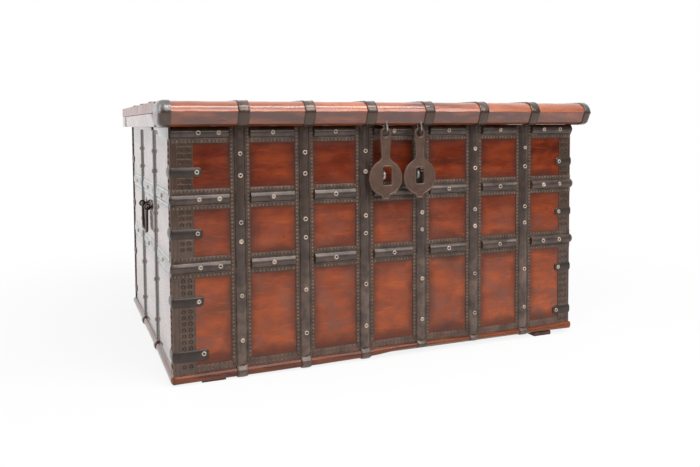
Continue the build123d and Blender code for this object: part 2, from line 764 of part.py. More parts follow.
def hinge_parts():
    """The lid leaf, the rear leaf and the pin of one strap hinge at x = 0."""
    half = hinge_leaf_width / 2
    clear = knuckle_radius + knuckle_gap
    third = (hinge_leaf_width - 2 * knuckle_gap) / 3
    inner = third / 2
    top = lid_top + hinge_leaf_thickness
    spear = make_face(
        [
            Line((half, hinge_line - clear), (-half, hinge_line - clear)),
            Line((-half, hinge_line - clear), (-half * 0.55, hinge_tip + half)),
            ThreePointArc((-half * 0.55, hinge_tip + half), (0, hinge_tip), (half * 0.55, hinge_tip + half)),
            Line((half * 0.55, hinge_tip + half), (half, hinge_line - clear)),
        ]
    )
    lid_leaf = extrude(lid_face * spear, hinge_leaf_thickness)
    lid_leaf += block(-inner, inner, hinge_line - clear, hinge_line, lid_top, top)
    lid_leaf += knuckle(-inner, inner)
    rear = block(-half, half, hinge_line + clear, box_back + hinge_leaf_thickness, lid_top, top)
    rear += block(
        -half, half, box_back, box_back + hinge_leaf_thickness, lid_top - hinge_tail_drop, top
    )
    for low, high in ((-half, -inner - knuckle_gap), (inner + knuckle_gap, half)):
        rear += block(low, high, hinge_line, hinge_line + clear, lid_top, top)
        rear += knuckle(low, high)
    axis = Pos(0, hinge_line, hinge_axis_height) * Rot(0, 90, 0)
    bore = axis * Cylinder(pin_radius + pin_clearance, 2 * hinge_leaf_width)
    pin = axis * Cylinder(pin_radius, hinge_leaf_width)
    head = axis * Pos(0, 0, half) * Cylinder(
        pin_head_radius, pin_head_thickness, align=(Align.CENTER, Align.CENTER, Align.MIN)
    )
    return lid_leaf - bore, rear - bore, pin + head


def hinges():
    """Two strap hinges between the lid and the fixed board."""
    lid_leaf, rear_leaf, pin = hinge_parts()
    places = [strap_pitch * bay for bay in hinge_bays]
    save("lid_hinge_leaves", *[Pos(x, 0, 0) * lid_leaf for x in places])
    save("rear_hinge_leaves", *[Pos(x, 0, 0) * rear_leaf for x in places])
    save("hinge_pins", *[Pos(x, 0, 0) * pin for x in places])


# ---- nails -------------------------------------------------------------------------------
def nails():
    """Ring-head nails along the straps, bands and clasps."""
    bays = [(n - (front_bays - 1) / 2) * strap_pitch for n in range(1, front_bays - 1)]
    along_band = bays + [-box_side + x for x in end_bay_nails_left]
    along_band += [box_side - x for x in end_bay_nails_right]
    front = [nail(x, z, crown_top) for x in strap_places for z in strap_nail_heights]
    for height in (top_band_height, upper_band_height, lower_band_height):
        front += [nail(x, height, crown_top) for x in along_band]
    save("front_strap_nails", *[front_face * piece for piece in front])

    clasp_rows = [(height, clasp_left, clasp_right) for height in clasp_heights]
    clasp_rows.append((moulding_top + foot_clasp_rise, foot_clasp_left, foot_clasp_right))
    on_clasps = []
    for height, left, right in clasp_rows:
        for x in (-box_side + left - clasp_nail_inset, box_side - right + clasp_nail_inset):
            on_clasps.append(nail(x, height, clasp_thickness))
    save("clasp_nails", *[front_face * piece for piece in on_clasps])

    end = [nail(y, z, crown_top) for y in side_strap_places for z in strap_nail_heights]
    bay = box_depth / side_bays
    for height in (upper_band_height, lower_band_height):
        end += [nail(box_front + bay * (n + 0.5), height, crown_top) for n in range(side_bays)]
    end = [right_face * piece for piece in end]
    save("end_strap_nails", *end, *[to_left(piece) for piece in end])

    between = [y + lid_band_pitch / 2 for y in lid_band_places]
    on_lid = [nail(x, y, lid_strap_thickness) for x in strap_places for y in between]
    save("lid_strap_nails", *[lid_face * piece for piece in on_lid])


os.makedirs("parts", exist_ok=True)
walls()
floor_and_posts()
base()
lid()
box_irons()
lid_irons()
hasps()
handles()
hinges()
nails()
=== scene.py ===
"""Looks of an iron-bound plank chest with a bullnosed lid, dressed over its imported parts.

Metres, +Z up, the floor at Z = 0 and the front towards -Y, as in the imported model.
"""

import math
import random

import bmesh
import bpy
from bpy.props import FloatProperty, FloatVectorProperty, IntProperty, PointerProperty
from mathutils import Matrix, Vector


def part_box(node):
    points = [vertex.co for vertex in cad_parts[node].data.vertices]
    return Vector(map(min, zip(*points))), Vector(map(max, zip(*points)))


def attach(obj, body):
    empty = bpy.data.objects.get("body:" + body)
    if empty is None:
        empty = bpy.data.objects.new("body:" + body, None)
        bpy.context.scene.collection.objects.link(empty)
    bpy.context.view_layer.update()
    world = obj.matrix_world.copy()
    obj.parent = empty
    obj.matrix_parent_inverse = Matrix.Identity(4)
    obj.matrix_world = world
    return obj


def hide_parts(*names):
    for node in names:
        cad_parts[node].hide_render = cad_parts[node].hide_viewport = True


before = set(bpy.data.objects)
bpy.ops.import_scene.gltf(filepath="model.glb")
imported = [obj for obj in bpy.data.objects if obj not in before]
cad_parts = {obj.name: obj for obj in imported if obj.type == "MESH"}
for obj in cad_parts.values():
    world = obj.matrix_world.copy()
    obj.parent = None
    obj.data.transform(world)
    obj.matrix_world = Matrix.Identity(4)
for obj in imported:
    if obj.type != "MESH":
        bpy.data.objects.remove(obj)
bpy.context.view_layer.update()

bl_info = {
    "name": "Iron-bound chest",
    "version": (1, 0, 0),
    "blender": (4, 5, 0),
    "location": "3D View > Sidebar > Chest",
    "description": "Dresses the packed chest with its woodwork, pressed straps, nails and hasps",
    "category": "Object",
}

MM = 0.001
UP = Vector((0, 0, 1))
ALONG_X = Vector((1, 0, 0))
ALONG_Y = Vector((0, 1, 0))
WELD = 0.01 * MM  # points nearer than this are one
FLAT_ANGLE = math.radians(1.0)  # faces that turn less than this are one plane
SHARP_ANGLE = math.radians(30)  # edges that turn more than this are worn round
SWAY = 0.3 * MM  # how far a hand-sawn face wanders
PLANK_STEP = 90 * MM  # from one section of a plank to the next
HEAD_REACH = 16 * MM  # points of one nail's head lie within this of each other
CLASP_GAP = 26 * MM  # clasps on a corner lie further apart than this

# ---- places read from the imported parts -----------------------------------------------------
front_low, front_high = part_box("front_boards")
side_x = front_high.x
front_y = front_low.y
back_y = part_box("back_boards")[1].y
wall_top = front_high.z
wall_foot = front_low.z
floor_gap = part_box("front_moulding")[0].z
moulding_reach = front_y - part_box("front_moulding")[0].y
moulding_height = wall_foot - floor_gap
moulding_middle = floor_gap + moulding_height / 2
nosing_low, nosing_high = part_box("lid_nosing")
lid_low, lid_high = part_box("lid_boards")
cap_low, cap_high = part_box("right_nosing_cap")
rail_low, rail_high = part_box("right_lid_rail")
rear_low, rear_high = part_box("rear_top_board")


def middle(node):
    """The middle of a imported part's box."""
    low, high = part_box(node)
    return (low + high) / 2


strap_places = [middle(f"front_strap_{number}").x for number in range(1, 7)]
upper_band = middle("front_upper_band").z
lower_band = middle("front_lower_band").z
side_strap_places = [front_y + (back_y - front_y) * share for share in (1 / 3, 2 / 3)]
strap_low, strap_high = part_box("front_strap_1")
strap_half = (strap_high.x - strap_low.x) / 2
strap_crown = front_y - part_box("front_upper_band")[0].y
top_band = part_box("front_top_band")[0].z + strap_half
hasp_places = {name: middle(name).x for name in ("left_hasp", "right_hasp")}
nosing_middle = (nosing_low.z + nosing_high.z) / 2
arris_turn = math.radians(168)  # round the nosing's section, from its back over its top
arris_z = nosing_middle + (nosing_high.z - nosing_low.z) / 2 * math.sin(arris_turn)


# ---- sizes and colours ---------------------------------------------------------------------
def linear(hex_code):
    """A colour written as six hex digits, as the linear numbers a shader takes."""
    parts = [int(hex_code[n:n + 2], 16) / 255 for n in (0, 2, 4)]
    return tuple(p / 12.92 if p <= 0.04045 else ((p + 0.055) / 1.055) ** 2.4 for p in parts)


def length(name, description, millimetres):
    """A size property in metres."""
    return FloatProperty(name=name, description=description, default=millimetres * MM, min=0.0, unit="LENGTH")


def colour(name, description, hex_code):
    """A colour property."""
    return FloatVectorProperty(
        name=name, description=description, default=linear(hex_code),
        size=3, min=0.0, max=1.0, subtype="COLOR",
    )


def share_of(name, description, default):
    """A property from 0 to 1."""
    return FloatProperty(
        name=name, description=description, default=default, min=0.0, max=1.0, subtype="FACTOR"
    )


def power(name, description, default):
    """The strength of a light."""
    return FloatProperty(name=name, description=description, default=default, min=0.0)


class ChestWood(bpy.types.PropertyGroup):
    panel_light: colour("Panel light", "Lightest figure of the wall boards", "983f12")
    panel_middle: colour("Panel middle", "Body colour of the wall boards", "77280c")
    panel_dark: colour("Panel dark", "Darkest figure of the wall boards", "4a180a")
    # Painted reflection of the pale floor, in patches low on the wall boards.
    panel_haze: colour("Panel haze", "Dull bloom low on the wall boards", "6d4338")
    # Painted light low on the wall boards.
    panel_bleached: colour("Panel bleached", "Paler wood low on the walls", "b06a44")
    moulding_light: colour("Moulding light", "Lightest figure of the base mouldings", "7e3d18")
    moulding_dark: colour("Moulding dark", "Darkest figure of the base mouldings", "461a0b")
    nosing_light: colour("Nosing light", "Lightest figure of the nosing", "ac5c34")
    nosing_dark: colour("Nosing dark", "Darkest figure of the nosing", "6a2a14")
    # Painted shade and reflection below the nosing's arris.
    nosing_dull: colour("Nosing underside", "Greyed wood below the nosing's arris", "4a2b24")
    nosing_worn: colour("Nosing arris", "Bright wood rubbed bare on the arris", "a44c1a")
    lid_light: colour("Lid light", "Lightest figure of the lid boards", "9a4a22")
    lid_dark: colour("Lid dark", "Darkest figure of the lid boards", "4b1c0d")
    inner_light: colour("Inside light", "Light figure of the unpolished inside", "8a6547")
    inner_dark: colour("Inside dark", "Dark figure of the unpolished inside", "533620")
    bearer: colour("Bearer", "Bearers under the base", "4a3028")
    # Painted shade on the wall boards beside the straps.
    grime: colour("Grime", "Dirt and old polish beside the straps", "3a1c14")


class ChestIron(bpy.types.PropertyGroup):
    strap: colour("Strap", "Polished crown of the straps", "69554a")
    strap_dark: colour("Strap dark", "Blackened parts of the straps", "3f3029")
    rust: colour("Rust", "Rust blooms on the iron", "513628")
    flange: colour("Flange", "Dirt between the beads of a strap", "543f32")
    bead: colour("Bead", "Worn tops of the beads", "76685b")
    plate: colour("Corner plate", "Embossed corner plates", "533d30")
    strip: colour("Foot strip", "Beaded strip at the wall's foot", "654d42")
    nail: colour("Nail", "Worn rim of the ring-head nails", "c4b09e")
    nail_eye: colour("Nail eye", "Dark eye of the ring-head nails", "33261f")
    hasp: colour("Hasp", "Rusty brown of the hasps", "5c4438")
    hasp_worn: colour("Hasp rim", "Rubbed rims of the hasps", "6c5446")
    staple: colour("Staple", "Bright staples and hangers", "b5b1aa")
    cap: colour("Nosing cap", "Bright iron of the nosing's caps", "8a8785")
    clasp: colour("Clasp", "Blackened clasps round the corners", "3e322b")


class ChestStraps(bpy.types.PropertyGroup):
    width: length("Width", "Pressed strap from edge to edge", 2 * strap_half / MM - 1.0)
    crown_width: length("Crown width", "Half-round middle of a strap", 26.0)
    crown_lift: length("Crown lift", "Top of the crown above the boards", strap_crown / MM - 0.1)
    flange_lift: length("Flange lift", "Top of the flange above the boards", 1.9)
    bead_pitch: length("Bead pitch", "From one bead to the next along a strap", 9.6)
    bead_radius: length("Bead radius", "Half the width of a bead along the strap", 2.3)
    bead_reach: length("Bead reach", "Half the length of a bead across the strap", 3.4)
    bead_lift: length("Bead lift", "Top of a bead above the flange", 1.6)
    bead_set: length("Bead line", "Bead line from the strap's middle", 20.6)
    crossing_lift: share_of("Crossing lift", "Share of a band's height left where a strap crosses it", 0.14)
    dip: share_of("Dip", "Share of its height that a strap loses where it crosses a band", 0.06)
    end_lift: share_of("End lift", "Share of a strap's height that the straps on the ends have", 0.55)
    lid_width: length("Lid strap width", "Straps over the lid from edge to edge", 28.0)
    lid_lift: length("Lid strap lift", "Raised edges of a lid strap above the wood", 3.0)
    corner_round: length("Corner radius", "Radius that the irons are bent to at a corner", 2.5)


class ChestNails(bpy.types.PropertyGroup):
    radius: length("Radius", "Outer radius of a ring head", 5.9)
    lift: length("Lift", "Top of a ring head above its seat", 2.2)
    eye: length("Eye radius", "Radius of the dark eye", 2.5)
    sides: IntProperty(name="Sides", description="Facets round a head", default=18, min=6, max=48)


class ChestCorners(bpy.types.PropertyGroup):
    plate_lift: length("Plate lift", "Thickness of a corner plate", 1.0)
    boss_radius: length("Boss radius", "Radius of a ringed boss on a plate", 6.2)
    boss_lift: length("Boss lift", "Top of a boss above its plate", 1.3)
    left_rows: length("Left row pitch", "Rows of bosses on the left plate", 15.0)
    right_rows: length("Right row pitch", "Rows of bosses on the right plate", 16.6)
    left_columns: length("Left column pitch", "Columns of bosses on the left plate", 16.0)
    right_columns: length("Right column pitch", "Columns of bosses on the right plate", 14.0)
    clasp_width: length("Clasp width", "Clasp from edge to edge", 24.0)
    clasp_lift: length("Clasp lift", "Top of a clasp above the boards", 4.2)
    rear_clasp_lift: length("Rear clasp lift", "Top of a clasp on the back above the boards", 2.9)


class ChestHasps(bpy.types.PropertyGroup):
    rim: length("Rim radius", "Raised bead round the disc and the slot", 2.1)
    edge: length("Edge", "Rounding of the hasp's edges", 0.9)
    wire: length("Hanger wire", "Radius of the hanger's wire", 2.5)
    staple_wire: length("Staple wire", "Radius of the staple's wire", 3.5)


class ChestHandles(bpy.types.PropertyGroup):
    bar: length("Bar", "Radius of the drop handle's bar", 4.5)
    corner: length("Corner", "Bend radius of the handle's lower corners", 14.0)
    rosette_petals: IntProperty(name="Petals", description="Lobes round a rosette", default=8, min=3, max=24)


class ChestStage(bpy.types.PropertyGroup):
    floor_reach: length("Floor reach", "From the chest to the floor's edge", 3600.0)
    sky: power("Sky", "Strength of the soft light all round", 0.55)
    top_lamp: power("Top lamp", "Power of the strip lamp above", 20.0)
    front_lamp: power("Front lamp", "Power of the tall lamp in front", 50.0)
    left_lamp: power("Left lamp", "Power of the lamp on the left", 12.0)


# ---- mesh tools ----------------------------------------------------------------------------
class Shape:
    """Points and faces of one piece, gathered before its mesh is made."""

    def __init__(self):
        self.points, self.faces, self.finishes = [], [], []

    def skin(self, rows, finish=0, closed=False):
        """Joins rows of points with quads; the last row meets the first, or else both ends are closed off."""
        first, wide, count = len(self.points), len(rows[0]), len(rows)
        shade = finish if callable(finish) else lambda row, column: finish
        for row in rows:
            self.points.extend(row)
        for r in range(count if closed else count - 1):
            near, far = first + r * wide, first + (r + 1) % count * wide
            for c in range(wide):
                after = (c + 1) % wide
                self.faces.append((near + c, near + after, far + after, far + c))
                self.finishes.append(shade(r, c))
        if not closed:
            for start, row in ((first, 0), (first + (count - 1) * wide, count - 2)):
                self.faces.append(tuple(range(start, start + wide)))
                self.finishes.append(shade(row, wide // 2))

    def flipped(self, x=False, y=False):
        """The same piece on the other end of the chest, at its back, or both."""
        other = Shape()
        over = front_y + back_y
        other.points = [Vector((-p.x if x else p.x, over - p.y if y else p.y, p.z)) for p in self.points]
        other.faces, other.finishes = list(self.faces), list(self.finishes)
        return other

    def welded(self):
        """The same shape with points that fall together made one, without the faces that close up."""
        whole, found, places = Shape(), {}, []
        for point in self.points:
            key = tuple(round(c / WELD) for c in point)
            if key not in found:
                found[key] = len(whole.points)
                whole.points.append(point)
            places.append(found[key])
        for face, finish in zip(self.faces, self.finishes):
            corners = [places[n] for n in face]
            corners = [n for k, n in enumerate(corners) if n != corners[k - 1]]
            if len(corners) > 2:
                whole.faces.append(tuple(corners))
                whole.finishes.append(finish)
        return whole

    def at_the_back(self):
        """The same piece on both rear corners."""
        return self.flipped(y=True).add(self.flipped(x=True, y=True))

    def add(self, other):
        """Takes in another shape's points and faces."""
        first = len(self.points)
        self.points += other.points
        self.faces += [tuple(n + first for n in face) for face in other.faces]
        self.finishes += other.finishes
        return self

    def piece(self, name, names, body, slot, node, crease=38.0):
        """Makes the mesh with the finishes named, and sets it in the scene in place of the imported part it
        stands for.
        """
        if not self.faces:
            raise RuntimeError(f"{name} has no faces")
        mesh = bpy.data.meshes.new(name)
        mesh.from_pydata([tuple(p) for p in self.points], [], self.faces)
        for finish in names:
            mesh.materials.append(finishes[finish])
        mesh.polygons.foreach_set("material_index", self.finishes)
        finish_piece(bpy.data.objects.new(name, mesh), body, node, crease)

    def pair(self, name, names, body, slot, node, crease=38.0):
        """Makes the right end's piece and its mirror on the left; {} stands for the side in each name."""
        for side, shape in (("right", self), ("left", self.flipped(x=True))):
            shape.piece(name.format(side), names, body.format(side), slot, node.format(side), crease)


def finish_piece(made, body, node, crease=38.0):
    """Turns a piece's faces outwards, shades it, parents it to what it rides on and hides the part it stands
    for.
    """
    work = bmesh.new()
    work.from_mesh(made.data)
    bmesh.ops.recalc_face_normals(work, faces=work.faces)
    for face in work.faces:
        face.smooth = True
    work.to_mesh(made.data)
    work.free()
    made.data.set_sharp_from_angle(angle=math.radians(crease))
    made.data.validate()
    bpy.context.scene.collection.objects.link(made)
    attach(made, body)
    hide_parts(node)


def dress(node, finish):
    """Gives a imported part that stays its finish."""
    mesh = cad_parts[node].data
    mesh.materials.clear()
    mesh.materials.append(finishes[finish])


def softened(node, finish, body, wear, edge=None):
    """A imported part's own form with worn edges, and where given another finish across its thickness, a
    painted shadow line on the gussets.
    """
    work = bmesh.new()
    work.from_mesh(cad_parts[node].data)
    bmesh.ops.remove_doubles(work, verts=work.verts, dist=WELD)
    bmesh.ops.dissolve_limit(work, angle_limit=FLAT_ANGLE, verts=work.verts, edges=work.edges)
    sharp = [e for e in work.edges if len(e.link_faces) == 2 and e.calc_face_angle(0) > SHARP_ANGLE]
    bmesh.ops.bevel(work, geom=sharp, offset=wear, segments=2, profile=0.7, affect="EDGES",
                    clamp_overlap=True)
    mesh = bpy.data.meshes.new(f"{node}_worn")
    work.to_mesh(mesh)
    work.free()
    for name in (finish, edge or finish):
        mesh.materials.append(finishes[name])
    for face in mesh.polygons:
        face.material_index = int(abs(face.normal.x) < 0.5)
    finish_piece(bpy.data.objects.new(f"{node}_worn", mesh), body, node)


def between(a, b, share):
    """A number or a point a share of the way from a to b."""
    return a + (b - a) * share


def eased(start, bend, end, count):
    """Points of a soft curve from start to end, drawn towards a bend."""
    shares = [n / count for n in range(count + 1)]
    return [start * (1 - t) ** 2 + bend * (2 * t * (1 - t)) + end * t ** 2 for t in shares]


def circle(centre, radius, degrees):
    """Points round a centre at angles in degrees, as pairs."""
    turns = [math.radians(t) for t in degrees]
    return [(centre[0] + radius * math.cos(t), centre[1] + radius * math.sin(t)) for t in turns]


def box_of(points):
    """The lowest and the highest corner of the box round some points."""
    return tuple(Vector([pick(p[n] for p in points) for n in range(3)]) for pick in (min, max))


def steps(low, high, pitch):
    """Evenly spaced numbers that fill a length, half a step in from both ends."""
    count = max(1, round((high - low) / pitch))
    return [low + (high - low) * (n + 0.5) / count for n in range(count)]


def ribbon(shape, stations, finish=0):
    """Skins a strip through stations of (point, side, up, profile), a profile being (across, lift) pairs."""
    rows = [[point + side * v + up * h for v, h in profile] for point, side, up, profile in stations]
    shape.skin(rows, finish)


def along_path(points, side, profiles):
    """Stations along a bent line whose strip stays square to one direction."""
    stations = []
    for n, point in enumerate(points):
        ahead = points[min(n + 1, len(points) - 1)] - points[max(n - 1, 0)]
        stations.append((point, side, ahead.cross(side).normalized(), profiles[n]))
    return stations


def dome(shape, centre, along, side, up, long, wide, high, finish):
    """A small raised bead, its foot a little way into what carries it."""
    rows, sides = [], 7
    for share, lift in ((1.0, -0.35), (0.88, 0.45), (0.5, 0.88), (0.18, 1.0)):
        row = []
        for n in range(sides):
            turn = 2 * math.pi * n / sides
            offset = along * (long * share * math.cos(turn)) + side * (wide * share * math.sin(turn))
            row.append(centre + offset + up * (high * lift))
        rows.append(row)
    shape.skin(rows, finish)


def turned(shape, centre, axis, profile, finish=0, sides=18, lobes=0, lobe=0.0):
    """A round piece turned about an axis; profile is (radius, lift) pairs from its foot to its middle."""
    u = axis.orthogonal().normalized()
    w = axis.cross(u)
    rows = []
    for radius, lift in profile:
        row = []
        for n in range(sides):
            turn = 2 * math.pi * n / sides
            r = radius * (1 + lobe * math.cos(lobes * turn))
            row.append(centre + (u * math.cos(turn) + w * math.sin(turn)) * r + axis * lift)
        rows.append(row)
    shape.skin(rows, finish)


def rounded(points, radius, count=6):
    """A bent line with its corners rounded."""
    made = [points[0]]
    for before, corner, after in zip(points, points[1:], points[2:]):
        a, b = (before - corner).normalized(), (after - corner).normalized()
        room = [(point - corner).length * 0.48 for point in (before, after)]
        reach = min(radius / math.tan(a.angle(b) / 2), *room)
        made += eased(corner + a * reach, corner, corner + b * reach, count)
    made.append(points[-1])
    return made


def rod(shape, points, radius, finish=0, sides=12, closed=False, flat=1.0, flat_axis=None):
    """A round bar along a bent line. radius is a number, or a function of the share of the way."""
    count = len(points)
    rows = []
    last = None
    for n, point in enumerate(points):
        if closed:
            ahead = points[(n + 1) % count] - points[n - 1]
        else:
            ahead = points[min(n + 1, count - 1)] - points[max(n - 1, 0)]
        ahead.normalize()
        if flat_axis is not None:
            u = (flat_axis - ahead * flat_axis.dot(ahead)).normalized()
        elif last is None:
            u = ahead.orthogonal().normalized()
        else:
            u = (last - ahead * last.dot(ahead)).normalized()
        last = u
        w = ahead.cross(u)
        r = radius(n / max(1, count - 1)) if callable(radius) else radius
        row = []
        for k in range(sides):
            turn = 2 * math.pi * k / sides
            row.append(point + u * (r * flat * math.cos(turn)) + w * (r * math.sin(turn)))
        rows.append(row)
    shape.skin(rows, finish, closed)


def soft_box(x0, x1, z0, z1, wear):
    """A section with worn corners, as (across, up) pairs."""
    section = []
    for cx, cz, start in ((x1, z1, 0), (x0, z1, 90), (x0, z0, 180), (x1, z0, 270)):
        ax = cx - math.copysign(wear, cx - (x0 + x1) / 2)
        az = cz - math.copysign(wear, cz - (z0 + z1) / 2)
        for turn in (0, 45, 90):
            angle = math.radians(start + turn)
            section.append((ax + wear * math.cos(angle), az + wear * math.sin(angle)))
    return section


def plank(shape, low, high, axis, wear, chance):
    """A board along X or Y with worn edges and a slight hand-sawn sway that stays inside its box."""
    start, end = (low.x, high.x) if axis == "X" else (low.y, high.y)
    across = (low.y, high.y) if axis == "X" else (low.x, high.x)
    count = max(2, round((end - start) / PLANK_STEP))
    places = [between(start, end, n / count) for n in range(1, count)]
    rows = []
    for place in [start, start + wear, *places, end - wear, end]:
        shrink = wear * 0.8 if place in (start, end) else chance.random() * SWAY
        section = soft_box(across[0] + shrink, across[1] - shrink, low.z + shrink, high.z - shrink, wear)
        rows.append([Vector((place, a, z)) if axis == "X" else Vector((a, place, z)) for a, z in section])
    shape.skin(rows)


def planks(shape, low, high, axis, split, count, wear, chance):
    """Boards side by side that fill a box; split is the number of the axis that they share out."""
    for n in range(count):
        foot, head = low.copy(), high.copy()
        foot[split] = between(low[split], high[split], n / count)
        head[split] = between(low[split], high[split], (n + 1) / count)
        plank(shape, foot, head, axis, wear, chance)


def head_boxes(node):
    """The box of each head in a packed nail node."""
    centres = []
    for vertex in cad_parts[node].data.vertices:
        for group in centres:
            if (group[0] - vertex.co).length < HEAD_REACH:
                group[1].append(vertex.co)
                break
        else:
            centres.append((vertex.co.copy(), [vertex.co]))
    return [box_of(points) for _, points in centres]


def clasp_boxes(node):
    """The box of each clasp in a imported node, told apart by height."""
    points = [vertex.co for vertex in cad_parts[node].data.vertices]
    heights = []
    for z in sorted(point.z for point in points):
        if not heights or z - heights[-1][-1] > CLASP_GAP:
            heights.append([z])
        else:
            heights[-1].append(z)
    return [box_of([p for p in points if group[0] <= p.z <= group[-1]]) for group in heights]


def corner_bend():
    """A front corner of the walls: its radius, the run to where it begins, and the length of its arc."""
    radius = bpy.context.scene.chest_straps.corner_round
    return radius, side_x - radius, radius * math.pi / 2


def wall_point(run, height):
    """The walls' face at a run from the front's middle, bent round both front corners: point, along, out."""
    bend, straight, arc = corner_bend()
    way = 1.0 if run > 0 else -1.0
    past = abs(run) - straight
    turn = min(max(past / bend, 0.0), math.pi / 2)
    out = Vector((way * math.sin(turn), -math.cos(turn), 0))
    along = Vector((math.cos(turn), way * math.sin(turn), 0))
    if past <= 0:
        point = Vector((run, front_y, height))
    else:
        point = Vector((way * straight, front_y + bend, height)) + out * bend
        if past > arc:
            point.y = front_y + bend + past - arc
    return point, along, out


def corner_run():
    """The run from the front's middle to the middle of a corner's bend."""
    _, straight, arc = corner_bend()
    return straight + arc / 2


def end_run(y):
    """The run to a place on the right end."""
    bend, straight, arc = corner_bend()
    return straight + arc + y - front_y - bend


def within(runs, low, high):
    """Those of some runs that lie between two, in order."""
    return sorted(run for run in runs if low - 1e-9 <= run <= high + 1e-9)


def corner_steps(low, high):
    """The two runs given, with those round a corner's bend that lie between them."""
    _, straight, arc = corner_bend()
    bends = {way * (straight + arc * share) for way in (-1, 1) for share in (0, 0.25, 0.5, 0.75, 1)}
    return within({low, high} | bends, low, high)


# ---- finishes ------------------------------------------------------------------------------
class Nodes:
    """A node tree, with short calls to add and join nodes."""

    def __init__(self, tree):
        self.tree = tree

    def add(self, kind, inputs=None, **settings):
        """A node with its settings, and its inputs set or joined by name or number."""
        node = self.tree.nodes.new(kind)
        for key, value in settings.items():
            setattr(node, key, value)
        for key, value in (inputs or {}).items():
            self.give(node.inputs[key], value)
        return node

    def give(self, socket, value):
        """Joins a socket to another node's output, or sets its value."""
        if isinstance(value, bpy.types.NodeSocket):
            self.tree.links.new(value, socket)
        else:
            socket.default_value = value

    def maths(self, operation, a, b=0.0):
        """What two values come to, or a single one."""
        return self.add("ShaderNodeMath", {0: a, 1: b}, operation=operation).outputs[0]

    def rest(self, value):
        """What is left of 1."""
        return self.maths("SUBTRACT", 1.0, value)

    def span(self, value, low, high, start=0.0, end=1.0, smooth=True):
        """A value taken from one range to another and kept inside it."""
        kind = "SMOOTHSTEP" if smooth else "LINEAR"
        inputs = {"Value": value, "From Min": low, "From Max": high, "To Min": start, "To Max": end}
        return self.add("ShaderNodeMapRange", inputs, interpolation_type=kind, clamp=True).outputs["Result"]


class Finish(Nodes):
    """A material's nodes."""

    def __init__(self, name):
        self.material = bpy.data.materials.new(name)
        self.material.use_nodes = True
        super().__init__(self.material.node_tree)
        self.shader = self.tree.nodes["Principled BSDF"]
        self.place = self.add("ShaderNodeTexCoord").outputs["Object"]

    def stretched(self, scale, offset=(0, 0, 0)):
        """The piece's own coordinates, stretched and moved."""
        inputs = {"Vector": self.place, "Scale": scale, "Location": offset}
        return self.add("ShaderNodeMapping", inputs).outputs[0]

    def noise(self, scale, detail=3.0, rough=0.5, warp=0.0, place=None):
        """Cloudy noise from 0 to 1, over the piece's own coordinates or a stretched place."""
        settings = {"Scale": scale, "Detail": detail, "Roughness": rough, "Distortion": warp}
        settings["Vector"] = place or self.place
        return self.add("ShaderNodeTexNoise", settings).outputs["Fac"]

    def ramp(self, value, *stops):
        """Colours along a value: (place, colour) pairs."""
        node = self.add("ShaderNodeValToRGB", {"Fac": value})
        elements = node.color_ramp.elements
        while len(elements) < len(stops):
            elements.new(0.5)
        for element, (place, shade) in zip(elements, stops):
            element.position = place
            element.color = (*shade, 1.0)
        return node.outputs["Color"]

    def wavering(self, value, noise, reach):
        """A value moved up and down by a noise, by half a reach each way."""
        return self.maths("ADD", value, self.maths("MULTIPLY", self.maths("SUBTRACT", noise, 0.5), reach))

    def mix(self, share, a, b):
        """Colour b laid over colour a by a share."""
        node = self.add("ShaderNodeMix", data_type="RGBA")
        self.give(node.inputs[0], share)
        for socket, value in ((node.inputs[6], a), (node.inputs[7], b)):
            self.give(socket, value if isinstance(value, bpy.types.NodeSocket) else (*value, 1.0))
        return node.outputs[2]

    def bump(self, height, depth, strength, below=None):
        """A relief of a depth, over another one where given."""
        inputs = {"Height": height, "Distance": depth, "Strength": strength}
        if below is not None:
            inputs["Normal"] = below
        return self.add("ShaderNodeBump", inputs).outputs["Normal"]

    def height(self, waver=0.0):
        """The height above the floor, with a slight waver so that no line is ruled."""
        z = self.add("ShaderNodeSeparateXYZ", {"Vector": self.place}).outputs["Z"]
        if not waver:
            return z
        return self.wavering(z, self.noise(11.0, 3.0, 0.6), waver)

    def done(self, base, roughness, normal, metallic=0.0, coat=0.0, coat_roughness=0.2, specular=0.5):
        """Joins what was made to the shader and gives the material."""
        inputs = {"Base Color": base, "Roughness": roughness, "Normal": normal, "Metallic": metallic}
        inputs |= {"Coat Weight": coat, "Coat Roughness": coat_roughness, "Specular IOR Level": specular}
        for name, value in inputs.items():
            self.give(self.shader.inputs[name], value)
        return self.material


def strap_shadow(finish, axis, start, pitch):
    """1 in the middle of a panel and 0 beside its straps, for the painted shade there."""
    split = finish.add("ShaderNodeSeparateXYZ", {"Vector": finish.place}).outputs
    along = finish.maths("ADD", split[axis], start)
    reach = finish.maths("PINGPONG", along, pitch / 2)
    for height in (wall_foot + 4 * MM, lower_band, upper_band, top_band):
        away = finish.maths("ABSOLUTE", finish.maths("SUBTRACT", split["Z"], height))
        reach = finish.maths("MINIMUM", reach, away)
    reach = finish.wavering(reach, finish.noise(22.0, 3.0, 0.6), 34 * MM)
    return finish.span(reach, 16 * MM, 52 * MM)


def faded(shade, share):
    """A shade made darker, or lighter up to white."""
    return tuple(min(1.0, c * share) for c in shade)


def aged_panel(finish, base, clear):
    """Wall boards: painted shade high up and beside the straps, painted floor light and reflection low down."""
    wood = bpy.context.scene.chest_wood
    floor_reflection_noise = finish.span(finish.noise(13.0, 5.0, 0.66), 0.46, 0.62)
    low = finish.span(finish.height(), 0.10, 0.56, 1.0, 0.0, False)
    # Painted shade high up, then painted light and floor reflection low down.
    base = finish.mix(finish.maths("MULTIPLY", finish.rest(low), 0.46), base, wood.panel_dark)
    base = finish.mix(finish.maths("MULTIPLY", low, 0.26), base, wood.panel_bleached)
    floor_reflection_share = finish.maths("MULTIPLY", floor_reflection_noise, finish.maths("MULTIPLY", low, 0.75))
    base = finish.mix(floor_reflection_share, base, wood.panel_haze)
    # Painted shade beside the straps.
    return finish.mix(finish.span(clear, 0.0, 1.0, 0.72, 0.0, False), base, wood.grime)


